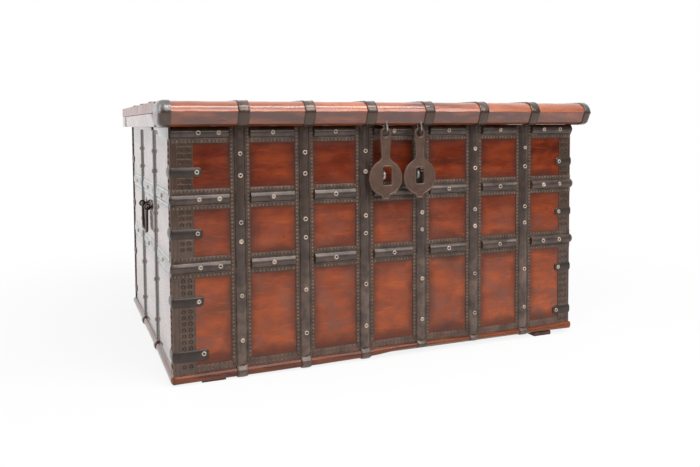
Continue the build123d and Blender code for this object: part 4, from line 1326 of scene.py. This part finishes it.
# ---- corner irons --------------------------------------------------------------------------
def corner_plate(front_reach, end_reach, rows_pitch, columns_pitch, clasps, plain, drop):
    """An embossed plate round the right front corner: two framed columns of ringed bosses on each face.

    clasps are the heights of the clasps over it, plain is the bare strip beside the corner, and drop lets
    the foot down with the old base.
    """
    sizes = bpy.context.scene.chest_corners
    shape = Shape()
    lift = sizes.plate_lift
    start, end = side_x - front_reach, end_run(front_y + end_reach)
    low, high = wall_foot, wall_top - 0.5 * MM
    plate = [(low - drop, 0.0), (low - drop, lift), (high, lift), (high, 0.0)]
    stations = []
    for run in corner_steps(start, end):
        point, _, out = wall_point(run, 0.0)
        stations.append((point, UP, out, plate))
    ribbon(shape, stations)
    corner = corner_run()
    edges = (start + 1.6 * MM, corner - plain, corner + plain * 0.6, end - 1.6 * MM)
    rib = [(1.2 * MM, 0.5 * lift), (0.8 * MM, lift + 0.6 * MM), (0.0, lift + 0.9 * MM),
           (-0.8 * MM, lift + 0.6 * MM), (-1.2 * MM, 0.5 * lift)]
    for run in edges + (corner - 3.4 * MM, corner + 3.4 * MM):
        point, along, out = wall_point(run, 0.0)
        ends = (low + 0.5 * MM - drop, high - 0.5 * MM)
        ribbon(shape, [(point + UP * z, along, out, rib) for z in ends], 1)
    chance = random.Random(round(rows_pitch * 1e5))
    band_half = bpy.context.scene.chest_straps.width / 2
    for z in steps(low + 2 * MM, high - 2 * MM, rows_pitch):
        clear = all(abs(z - height) > sizes.clasp_width / 2 + 4 * MM for height in clasps)
        clear = clear and all(abs(z - height) > band_half + 4 * MM for height in (upper_band, lower_band))
        if z > wall_top - 36 * MM or not clear:
            continue
        for near, far in (edges[:2], edges[2:]):
            cross = [wall_point(run, z + rows_pitch / 2) for run in (near, far)]
            ribbon(shape, [(point, UP, out, rib) for point, _, out in cross], 1)
            for way in (-0.5, 0.5):
                run = (near + far) / 2 + way * min(columns_pitch, (far - near) * 0.46)
                point, _, out = wall_point(run, z)
                size = sizes.boss_radius * (0.92 + 0.14 * chance.random())
                crest = lift + sizes.boss_lift * (0.8 + 0.3 * chance.random())
                profile = [(size, 0.4 * lift), (size * 0.96, lift + 0.4 * MM), (size * 0.86, crest),
                           (size * 0.75, crest - 0.2 * MM), (size * 0.60, lift + 0.1 * MM),
                           (size * 0.2, lift - 0.1 * MM)]
                turned(shape, point, out, profile, lambda row, _: 1 if row < 3 else 2, sides=10)
    return shape


def clasp_profile(wide, lift):
    """A corner clasp's closed half-round section; wide is a share of its width."""
    half = bpy.context.scene.chest_corners.clasp_width / 2 * wide
    side = [(half, 0.6 * MM)]
    for share in (0.98, 0.90, 0.74, 0.5, 0.2):
        side.append((half * share, 1.2 * MM + (lift - 1.2 * MM) * (1 - share ** 2) ** 0.55))
    return side + [(-v, h) for v, h in reversed(side)]


def lay_clasp(shape, height, front_reach, end_reach, lift, wide=1.0):
    """A short half-round strap round the right front corner with rounded tongues."""
    start, end = side_x - front_reach, end_run(front_y + end_reach)
    tongue = 9 * MM
    runs = set(corner_steps(start, end))
    shares = (0.0, 0.12, 0.3, 0.55, 1.0)
    runs |= {start + tongue * s for s in shares} | {end - tongue * s for s in shares}
    stations = []
    for run in sorted(runs):
        near = min(run - start, end - run) / tongue
        round_off = math.sqrt(max(0.0, 1 - (1 - min(near, 1.0)) ** 2))
        point, _, out = wall_point(run, height)
        profile = clasp_profile(wide * between(0.55, 1.0, round_off), lift * between(0.62, 1.0, round_off))
        stations.append((point, UP, out, profile))
    ribbon(shape, stations)


class CHEST_OT_corner_irons(bpy.types.Operator):
    """Emboss the corner plates, bend the clasps over them and lay the beaded strip at the foot"""
    bl_idname = "chest.corner_irons"
    bl_label = "Corner irons"

    def execute(self, context):
        corners, straps = context.scene.chest_corners, context.scene.chest_straps
        plates = ["plate", "boss", "nail_eye"]
        left_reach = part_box("front_left_corner_plate")[1].x + side_x
        right_low, right_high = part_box("front_right_corner_plate")
        end_reach = right_high.y - front_y
        heights = sorted((low.z + high.z) / 2 for low, high in clasp_boxes("front_right_clasps"))
        left = corner_plate(left_reach, end_reach, corners.left_rows, corners.left_columns, heights,
                            14 * MM, foot_line(-side_x)[0])
        left.flipped(x=True).piece("left_plate", plates, "chest", "strap_iron", "front_left_corner_plate")
        right_reach = side_x - right_low.x
        right = corner_plate(right_reach, end_reach, corners.right_rows, corners.right_columns, heights,
                             9 * MM, foot_line(side_x)[0])
        right.piece("right_plate", plates, "chest", "strap_iron", "front_right_corner_plate")
        right.at_the_back().piece("rear_plates", plates, "chest", "strap_iron", "rear_corner_plates")

        for side in ("left", "right"):
            shape = Shape()
            for low, high in clasp_boxes(f"front_{side}_clasps"):
                front_reach = high.x + side_x if side == "left" else side_x - low.x
                drop, wide = 0.0, 1.0
                if side == "left" and low.z < wall_foot + 60 * MM:
                    drop, wide = 3 * MM, 1.15  # the left foot's clasp has slipped and is broader
                lay_clasp(shape, (low.z + high.z) / 2 - drop, front_reach, high.y - front_y,
                          corners.clasp_lift, wide)
            made = shape.flipped(x=True) if side == "left" else shape
            made.piece(f"{side}_clasps", ["clasp"], "chest", "strap_iron", f"front_{side}_clasps")
        clasps = Shape()
        for low, high in clasp_boxes("front_right_clasps"):
            lay_clasp(clasps, (low.z + high.z) / 2, side_x - low.x, high.y - front_y, corners.rear_clasp_lift)
        clasps.at_the_back().piece("rear_clasp_irons", ["clasp"], "chest", "strap_iron", "rear_clasps")

        strip = Shape()
        low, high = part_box("front_foot_strip")
        section = ((high.y, low.z), (low.y, low.z), (low.y, high.z), (high.y, high.z))
        rows = []
        for n in range(25):
            x = between(low.x, high.x, n / 24)
            rows.append([Vector((x, y, z - foot_line(x)[0])) for y, z in section])
        strip.skin(rows, 1)
        bead = straps.bead_radius * 1.05
        for x in steps(low.x, high.x, straps.bead_pitch * 1.15):
            if all(abs(x - place) > straps.crown_width / 2 for place in strap_places):
                for z in (low.z + 5 * MM, high.z - 4 * MM):
                    centre = Vector((x, low.y, z - foot_line(x)[0]))
                    dome(strip, centre, ALONG_X, UP, -ALONG_Y, bead, bead, 1.4 * MM, 2)
        irons = ["strap", "strip", "bead"]
        strip.piece("foot_strip", irons, "chest", "strap_iron", "front_foot_strip")
        # The gussets' edges take the dark nail-eye finish as a painted shadow line.
        for side in ("left", "right"):
            softened(f"{side}_top_gusset", "end", "chest", 0.5 * MM, "nail_eye")
        return {"FINISHED"}


# ---- nails ---------------------------------------------------------------------------------
class CHEST_OT_nails(bpy.types.Operator):
    """Drive the ring-head nails along the straps, the clasps and the lid"""
    bl_idname = "chest.nails"
    bl_label = "Nails"

    def execute(self, context):
        sizes, straps = context.scene.chest_nails, context.scene.chest_straps
        chance = random.Random(2)
        rows = (
            ("front_nails", "front_strap_nails", "chest"),
            ("corner_nails", "clasp_nails", "chest"),
            ("end_nails", "end_strap_nails", "chest"),
            ("lid_nails", "lid_strap_nails", "lid"),
        )
        r, top, eye = sizes.radius, sizes.lift, sizes.eye
        for name, node, body in rows:
            shape = Shape()
            for low, high in head_boxes(node):
                centre = (low + high) / 2
                if node == "lid_strap_nails":
                    out = UP
                    centre.z = low.z
                elif node == "end_strap_nails":
                    way = math.copysign(1, centre.x)
                    out = ALONG_X * way
                    on_band = min(abs(centre.z - upper_band), abs(centre.z - lower_band)) < 12 * MM
                    lift = straps.end_lift / (2 if on_band else 1)
                    centre.x = (low.x if way > 0 else high.x) - way * (1 - lift) * straps.crown_lift
                else:
                    out = -ALONG_Y
                    centre.y = high.y
                tilt = 0.10
                out = (out + Vector([(chance.random() - 0.5) * tilt for _ in range(3)])).normalized()
                size = 0.94 + 0.12 * chance.random()
                filled = chance.random() < 0.45  # with old polish, up to where its eye is deep
                deep = 0.62 if filled else 0.22
                ring = ((1.0, 0.15), (0.95, 0.52), (0.84, 0.86), (0.70, 1.0), (0.57, 0.88))
                pit = ((1.12, between(0.9, deep, 0.6)), (0.88, deep), (0.5, deep - 0.06), (0.12, deep - 0.08))
                profile = [(r * 0.98 * size, -1.5 * MM)]
                profile += [(r * share * size, rise * top) for share, rise in ring]
                profile += [(eye * share * size, rise * top) for share, rise in pit]
                eye_finish = 2 if filled else 1
                turned(shape, centre, out, profile, lambda row, _: 0 if row < 6 else eye_finish, sizes.sides)
            metals = ["nail", "nail_eye", "nail_dull"]
            shape.piece(name, metals, body, "nail_metal", node, crease=60.0)
        return {"FINISHED"}


# ---- hasps ---------------------------------------------------------------------------------
HASP_EYE = 17 * MM  # outer radius of the eye at a hasp's top
HASP_BORE = 9 * MM  # radius of its hole
HASP_LIP = 9 * MM  # length of the finger lip below the disc
HASP_SETBACK = 1.1 * MM  # the plate is this much thinner in front, where its rims stand
RIM_INSET = 2.6 * MM  # from an edge of the plate to the middle of its rim
SHOULDER_TURN, LIP_TURN = 32, 164  # where the disc's round starts and ends, in degrees from its top

# Each slot's middle from its disc's, half its width and half its height.
HASP_SLOTS = {
    "left_hasp": (4.0 * MM, 5.0 * MM, 12.2 * MM, 23.5 * MM),
    "right_hasp": (0.5 * MM, 3.0 * MM, 11.0 * MM, 20.6 * MM),
}


def from_top(centre_z, radius, degrees):
    """Points of a hasp's round parts as (X, Z), at angles in degrees clockwise from the top."""
    turns = [math.radians(t) for t in degrees]
    return [(radius * math.sin(t), centre_z + radius * math.cos(t)) for t in turns]


def hasp_line(eye_z, disc_z, disc_r, foot_z):
    """The right half of a hasp's outline as (X, Z), from the top of its eye to its finger lip."""
    line = from_top(eye_z, HASP_EYE, range(0, 112, 8))
    disc_top, disc_foot = disc_z + disc_r, disc_z - disc_r
    neck = disc_top + 11 * MM
    line += [(16.4 * MM, eye_z - 11 * MM), (14.4 * MM, between(neck, eye_z, 0.5)), (13.0 * MM, neck)]
    start, bend = Vector((12.9 * MM, neck - 2 * MM)), Vector((13.4 * MM, disc_top - 0.6 * MM))
    shoulder = Vector(from_top(disc_z, disc_r, [SHOULDER_TURN])[0])
    line += [tuple(point) for point in eased(start, bend, shoulder, 7)]
    line += from_top(disc_z, disc_r, range(SHOULDER_TURN + 5, LIP_TURN, 5))
    line += [(12.2 * MM, disc_foot + 0.6 * MM), (11.4 * MM, disc_foot - 1.2 * MM)]
    lip = ((11.0, 4.0), (9.8, 1.2), (7.0, 0.2), (3.0, 0.0))
    return line + [(x * MM, foot_z + z * MM) for x, z in lip]


def inset(line, by):
    """A closed line drawn in by a distance, from (X, Z) points."""
    made = []
    for n, (x, z) in enumerate(line):
        (x0, z0), (x1, z1) = line[n - 1], line[(n + 1) % len(line)]
        across = Vector((z1 - z0, x0 - x1)).normalized() * by
        made.append((x + across.x, z + across.y))
    return made


def slot_line(centre, half_wide, half_high, bend, count=4):
    """A rounded slot round a centre, as (X, Z) points."""
    line = []
    for cx, cz, start in ((1, 1, 0), (-1, 1, 90), (-1, -1, 180), (1, -1, 270)):
        for n in range(count + 1):
            angle = math.radians(start + 90 * n / count)
            line.append((centre[0] + cx * (half_wide - bend) + bend * math.cos(angle),
                         centre[1] + cz * (half_high - bend) + bend * math.sin(angle)))
    return line


def plate_from_lines(name, lines, thickness, edge, place):
    """The shape of a flat plate with holes and rounded edges, standing in an XZ plane."""
    curve = bpy.data.curves.new(name, "CURVE")
    curve.dimensions = "2D"
    curve.fill_mode = "BOTH"
    curve.extrude = thickness / 2 - edge
    curve.bevel_depth = edge
    curve.bevel_resolution = 2
    curve.offset = -edge
    for line in lines:
        spline = curve.splines.new("POLY")
        spline.points.add(len(line) - 1)
        for point, (x, z) in zip(spline.points, line):
            point.co = (x, z, 0, 1)
        spline.use_cyclic_u = True
    holder = bpy.data.objects.new(f"{name}_outline", curve)
    bpy.context.scene.collection.objects.link(holder)
    bpy.context.view_layer.update()
    mesh = bpy.data.meshes.new_from_object(holder.evaluated_get(bpy.context.evaluated_depsgraph_get()))
    bpy.data.objects.remove(holder)
    bpy.data.curves.remove(curve)
    mesh.transform(Matrix.Translation(place) @ Matrix.Rotation(math.radians(90), 4, "X"))
    work = bmesh.new()
    work.from_mesh(mesh)
    bmesh.ops.remove_doubles(work, verts=work.verts, dist=WELD)
    work.to_mesh(mesh)
    work.free()
    plate = Shape()
    plate.points = [vertex.co.copy() for vertex in mesh.vertices]
    plate.faces = [tuple(face.vertices) for face in mesh.polygons]
    plate.finishes = [0] * len(plate.faces)
    return plate


class CHEST_OT_hasps(bpy.types.Operator):
    """Forge both hasps with their raised rims, the hangers they swing from and the staples"""
    bl_idname = "chest.hasps"
    bl_label = "Hasps"

    def execute(self, context):
        sizes = context.scene.chest_hasps
        low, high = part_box("left_hasp")
        disc_r = (high.x - low.x) / 2
        eye_z = high.z - HASP_EYE
        disc_z = low.z + HASP_LIP + disc_r
        ring_y = (low.y + high.y) / 2
        face_y = ring_y - (high.y - low.y) / 2 + HASP_SETBACK
        half = hasp_line(eye_z, disc_z, disc_r, low.z)
        outline = half + [(-x, z) for x, z in reversed(half) if x > 1e-6]
        hole = circle((0.0, eye_z), HASP_BORE, range(0, 360, 18))
        edge = [(x, z) for x, z in inset(outline, RIM_INSET) if z < eye_z - 11 * MM]
        eye = circle((0.0, eye_z), (HASP_EYE + HASP_BORE) / 2, range(0, 360, 12))
        for name, middle_x in hasp_places.items():
            slot_x, slot_z, slot_wide, slot_high = HASP_SLOTS[name]
            centre = (slot_x, disc_z + slot_z)
            slot = slot_line(centre, slot_wide, slot_high, 4.5 * MM)
            shape = plate_from_lines(name, [outline, slot, hole], high.y - low.y - HASP_SETBACK, sizes.edge,
                                     Vector((middle_x, ring_y + HASP_SETBACK / 2, 0)))
            slot_rim = slot_line(centre, slot_wide + RIM_INSET, slot_high + RIM_INSET, 6 * MM, 3)
            beads = ((edge, sizes.rim, 1, 8, False, 0.45), (slot_rim, sizes.rim * 0.9, 1, 8, True, 0.45),
                     (eye, 3.4 * MM, 0, 10, True, 0.5))
            for line, radius, finish, sides, closed, flat in beads:
                points = [Vector((middle_x + x, face_y, z)) for x, z in line]
                rod(shape, points, radius, finish, sides, closed=closed, flat=flat, flat_axis=ALONG_Y)
            shape.piece(f"{name}_iron", ["hasp", "hasp_rim"], name, "hasp_iron", name, crease=50.0)

        hangers, staples = Shape(), Shape()
        hanger_low, hanger_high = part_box("hasp_hangers")
        hexagon = math.cos(math.radians(30))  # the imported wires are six-sided, so their boxes are this narrow
        radius = (hanger_high.y - hanger_low.y) / 2 - sizes.wire * hexagon
        centre_z = hanger_low.z + sizes.wire * hexagon + radius
        staple_low, staple_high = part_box("hasp_staples")
        bow = (staple_high.z - staple_low.z) / 2 - sizes.staple_wire * hexagon
        bow_z = (staple_high.z + staple_low.z) / 2
        bow_y = staple_low.y + sizes.staple_wire * hexagon + bow
        arc = circle((0, 0), 1, range(180, 361, 12))
        rise = hanger_high.z - hanger_low.z
        for x in hasp_places.values():
            wire = [Vector((x, ring_y - radius, hanger_high.z))]
            wire += [Vector((x, ring_y + radius * c, centre_z + radius * s)) for c, s in arc]
            wire.append(Vector((x, ring_y + radius, hanger_high.z)))
            for point in wire:  # a hanger leans a little
                point.x += between(2.5, -3.0, (point.z - hanger_low.z) / rise) * MM
            rod(hangers, wire, sizes.wire, 0, 10)
            loop = [Vector((x, staple_high.y, bow_z + bow))]
            loop += [Vector((x, bow_y + bow * s, bow_z - bow * c)) for c, s in arc]
            loop.append(Vector((x, staple_high.y, bow_z - bow)))
            rod(staples, loop, sizes.staple_wire, 0, 12, flat=1.35, flat_axis=ALONG_X)
        hangers.piece("hanger_wires", ["bright"], "lid", "bright_iron", "hasp_hangers", crease=60.0)
        staples.piece("staple_wires", ["bright"], "chest", "bright_iron", "hasp_staples", crease=60.0)
        return {"FINISHED"}


# ---- handles and hinges --------------------------------------------------------------------
class CHEST_OT_handles(bpy.types.Operator):
    """Bend the drop handles and set their eyes and rosettes on both ends"""
    bl_idname = "chest.handles"
    bl_label = "Handles"

    def execute(self, context):
        sizes = context.scene.chest_handles
        low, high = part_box("right_handle")
        x, mid = (low.x + high.x) / 2, (low.y + high.y) / 2
        pivot, foot_z = high.z - sizes.bar, low.z + sizes.bar
        half = (high.y - low.y) / 2
        leg, foot = half - 23 * MM, half - 30 * MM
        corners = ((-half, pivot), (-leg, pivot), (-foot, foot_z), (foot, foot_z), (leg, pivot))
        line = [Vector((x, mid + y, z)) for y, z in corners]
        upper = rounded(line[:3], 6 * MM, 5)[:-1]
        lower = rounded([upper[-1], line[2], line[3], (line[3] + line[4]) / 2], sizes.corner, 7)[1:-1]
        tail = [Vector((p.x, 2 * mid - p.y, p.z)) for p in reversed(upper)]
        bail = Shape()
        rod(bail, upper + lower + tail, lambda share: sizes.bar * (1 - 0.16 * abs(2 * share - 1) ** 2), 0, 14)
        bail.pair("{}_bail", ["strap"], "{}_handle", "strap_iron", "{}_handle", crease=60.0)

        eyes, rosettes = Shape(), Shape()
        eye_low, eye_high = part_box("handle_eyes")
        eye_half = (eye_high.y - eye_low.y) / 2 - 4 * MM
        outer = eye_high.x - x
        rose_low, rose_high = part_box("handle_rosettes")
        rose = (rose_high.z - rose_low.z) / 2
        petals = ((1.0, -0.3), (1.0, 0.5), (0.93, 1.1), (0.78, 1.2), (0.60, 1.9), (0.45, 1.5), (0.3, 2.0),
                  (0.15, 2.0))
        profile = [(rose * share, rise * MM) for share, rise in petals]
        unit_ring = circle((0, 0), 1, range(0, 360, 18))
        for way in (-1, 1):
            centre = Vector((x, mid + way * eye_half, pivot))
            ring = [centre + Vector((c, 0, s)) * (outer - 2.7 * MM) for c, s in unit_ring]
            rod(eyes, ring, 2.6 * MM, 0, 10, closed=True, flat=1.45, flat_axis=ALONG_Y)
            shank = [Vector((place, centre.y, pivot)) for place in (side_x - 16 * MM, x - outer + 3 * MM)]
            rod(eyes, shank, 3.0 * MM, 0, 10)
            seat = Vector((side_x, centre.y, pivot))
            turned(rosettes, seat, ALONG_X, profile, 0, 48, sizes.rosette_petals, 0.06)
        for shape, name, node in ((eyes, "eyes", "handle_eyes"), (rosettes, "rosettes", "handle_rosettes")):
            shape.add(shape.flipped(x=True))
            shape.piece(f"bail_{name}", ["strap"], "chest", "strap_iron", node, crease=50.0)
        return {"FINISHED"}


class CHEST_OT_hinges(bpy.types.Operator):
    """Wear the edges of the strap hinges and their pins"""
    bl_idname = "chest.hinges"
    bl_label = "Hinges"

    def execute(self, context):
        softened("lid_hinge_leaves", "strap", "lid", 0.5 * MM)
        softened("rear_hinge_leaves", "strap", "chest", 0.5 * MM)
        softened("hinge_pins", "strap", "chest", 0.3 * MM)
        return {"FINISHED"}


# ---- stage ---------------------------------------------------------------------------------
# Where each lamp hangs, the point it faces, and how wide and high it is.
LAMPS = {
    "top_lamp": ((0.15, -1.15, 2.3), (0.0, -0.45, 0.6), (1.7, 0.42)),
    "front_lamp": ((0.6, -2.6, 1.95), (0.1, -0.4, 0.45), (2.5, 1.7)),
    "left_lamp": ((-2.6, 0.3, 1.5), (-0.4, 0.0, 0.3), (1.6, 1.6)),
}
CAMERA_PLACE = (-0.844, -2.1525, 0.628)
CAMERA_YAW, CAMERA_PITCH, CAMERA_ROLL = math.radians(22.29), math.radians(3.11), math.radians(-0.35)
CAMERA_LENS, CAMERA_SENSOR = 37.43, 36.0  # in millimetres
CAMERA_SHIFT = -0.099
FLOOR_SIDES = 64
FLOOR_WHITE = (0.86, 0.86, 0.86, 1.0)
WHITE = (1.0, 1.0, 1.0, 1.0)


def studio_world(sizes):
    """Soft light all round: white to the eye, with a darker side in front for the iron to mirror."""
    world = bpy.data.worlds.new("studio")
    bpy.context.scene.world = world
    world.use_nodes = True
    world.node_tree.nodes.clear()
    nodes = Nodes(world.node_tree)
    generated = nodes.add("ShaderNodeTexCoord").outputs["Generated"]
    way = nodes.add("ShaderNodeSeparateXYZ", {0: generated}).outputs
    front = nodes.span(way["Y"], -0.85, 0.10, 0.10, 1.0)
    ceiling = nodes.span(way["Z"], 0.25, 0.75, 0.0, 0.9)
    mirrored = nodes.maths("MAXIMUM", front, ceiling)
    paths = nodes.add("ShaderNodeLightPath").outputs
    seen = nodes.maths("MAXIMUM", paths["Is Glossy Ray"], paths["Is Transmission Ray"])
    lit = nodes.maths("MULTIPLY", nodes.span(way["Z"], -0.6, 0.9, 0.7, 1.15), sizes.sky)
    unseen = nodes.maths("MULTIPLY", nodes.rest(seen), lit)
    strength = nodes.maths("ADD", nodes.maths("MULTIPLY", seen, mirrored), unseen)
    camera = paths["Is Camera Ray"]
    strength = nodes.maths("ADD", camera, nodes.maths("MULTIPLY", nodes.rest(camera), strength))
    background = nodes.add("ShaderNodeBackground", {"Color": WHITE, "Strength": strength}).outputs[0]
    nodes.add("ShaderNodeOutputWorld", {"Surface": background})


def floor_finish(reach):
    """A plain white floor that keeps the chest's shadow near it and runs out to pure white."""
    finish = Finish("studio_floor")
    finish.tree.nodes.remove(finish.shader)
    paths = finish.add("ShaderNodeLightPath").outputs
    seen = finish.maths("MAXIMUM", paths["Is Camera Ray"], paths["Is Glossy Ray"])
    seen = finish.maths("MAXIMUM", seen, paths["Is Transmission Ray"])
    away = finish.add("ShaderNodeVectorMath", {0: finish.place}, operation="LENGTH").outputs["Value"]
    far = finish.span(away, reach * 0.22, reach * 0.55, 0.86, 1.0)
    diffuse = finish.add("ShaderNodeBsdfDiffuse", {"Color": FLOOR_WHITE}).outputs[0]
    white = finish.add("ShaderNodeEmission", {"Color": WHITE, "Strength": 1.0}).outputs[0]
    mixed = finish.add("ShaderNodeMixShader", {0: finish.maths("MULTIPLY", seen, far), 1: diffuse, 2: white})
    finish.give(finish.tree.nodes["Material Output"].inputs["Surface"], mixed.outputs[0])
    return finish.material


def soft_lamp(name, place, aim, size, strength):
    """A large soft lamp that faces a point."""
    lamp = bpy.data.lights.new(name, "AREA")
    lamp.shape, lamp.energy = "RECTANGLE", strength
    lamp.size, lamp.size_y = size
    made = bpy.data.objects.new(name, lamp)
    bpy.context.scene.collection.objects.link(made)
    made.location = place
    made.rotation_euler = (Vector(aim) - Vector(place)).to_track_quat("-Z", "Y").to_euler()


def place_camera():
    """The camera, turned by its yaw, pitch and roll."""
    yaw, pitch, roll = CAMERA_YAW, CAMERA_PITCH, CAMERA_ROLL
    ahead = Vector((math.sin(yaw) * math.cos(pitch), math.cos(yaw) * math.cos(pitch), -math.sin(pitch)))
    right = Vector((math.cos(yaw), -math.sin(yaw), 0))
    above = right.cross(ahead)
    level_right = right * math.cos(roll) + above * math.sin(roll)
    level_up = above * math.cos(roll) - right * math.sin(roll)
    data = bpy.data.cameras.new("camera")
    data.sensor_fit, data.sensor_width = "HORIZONTAL", CAMERA_SENSOR
    data.lens = CAMERA_LENS
    data.shift_y = CAMERA_SHIFT
    camera = bpy.data.objects.new("camera", data)
    bpy.context.scene.collection.objects.link(camera)
    turn = Matrix((level_right, level_up, -ahead)).transposed().to_4x4()
    camera.matrix_world = Matrix.Translation(CAMERA_PLACE) @ turn
    bpy.context.scene.camera = camera


class CHEST_OT_stage(bpy.types.Operator):
    """Set the pale floor, the soft lamps and the camera"""
    bl_idname = "chest.stage"
    bl_label = "Stage"

    def execute(self, context):
        sizes = context.scene.chest_stage
        scene = context.scene
        scene.view_settings.view_transform = "Standard"
        studio_world(sizes)
        reach = sizes.floor_reach
        turns = [2 * math.pi * n / FLOOR_SIDES for n in range(FLOOR_SIDES)]
        mesh = bpy.data.meshes.new("floor")
        ring = [(reach * math.cos(turn), reach * math.sin(turn), 0.0) for turn in turns]
        mesh.from_pydata(ring, [], [tuple(range(FLOOR_SIDES))])
        mesh.materials.append(floor_finish(reach))
        floor = bpy.data.objects.new("floor", mesh)
        scene.collection.objects.link(floor)
        for name, (place, aim, size) in LAMPS.items():
            soft_lamp(name, place, aim, size, getattr(sizes, name))
        place_camera()
        return {"FINISHED"}


class CHEST_PT_pieces(bpy.types.Panel):
    """Every step that dresses the chest"""
    bl_idname = "CHEST_PT_pieces"
    bl_label = "Iron-bound chest"
    bl_space_type = "VIEW_3D"
    bl_region_type = "UI"
    bl_category = "Chest"

    def draw(self, context):
        for operator in operators:
            self.layout.operator(operator.bl_idname)
        for name, group in groups.items():
            box = self.layout.box()
            box.label(text=group.__name__)
            for key in group.__annotations__:
                box.prop(getattr(context.scene, name), key)


groups = {
    "chest_wood": ChestWood,
    "chest_iron": ChestIron,
    "chest_straps": ChestStraps,
    "chest_nails": ChestNails,
    "chest_corners": ChestCorners,
    "chest_hasps": ChestHasps,
    "chest_handles": ChestHandles,
    "chest_stage": ChestStage,
}
operators = (
    CHEST_OT_boards,
    CHEST_OT_mouldings,
    CHEST_OT_nosing,
    CHEST_OT_lid,
    CHEST_OT_straps,
    CHEST_OT_lid_straps,
    CHEST_OT_corner_irons,
    CHEST_OT_nails,
    CHEST_OT_hasps,
    CHEST_OT_handles,
    CHEST_OT_hinges,
    CHEST_OT_stage,
)


def register():
    for name, group in groups.items():
        bpy.utils.register_class(group)
        setattr(bpy.types.Scene, name, PointerProperty(type=group))
    for cls in (*operators, CHEST_PT_pieces):
        bpy.utils.register_class(cls)


def unregister():
    for cls in (CHEST_PT_pieces, *reversed(operators)):
        bpy.utils.unregister_class(cls)
    for name, group in reversed(groups.items()):
        delattr(bpy.types.Scene, name)
        bpy.utils.unregister_class(group)


def main():
    register()
    make_finishes()
    for operator in operators:
        family, name = operator.bl_idname.split(".")
        getattr(getattr(bpy.ops, family), name)()


if __name__ == "__main__":
    main()
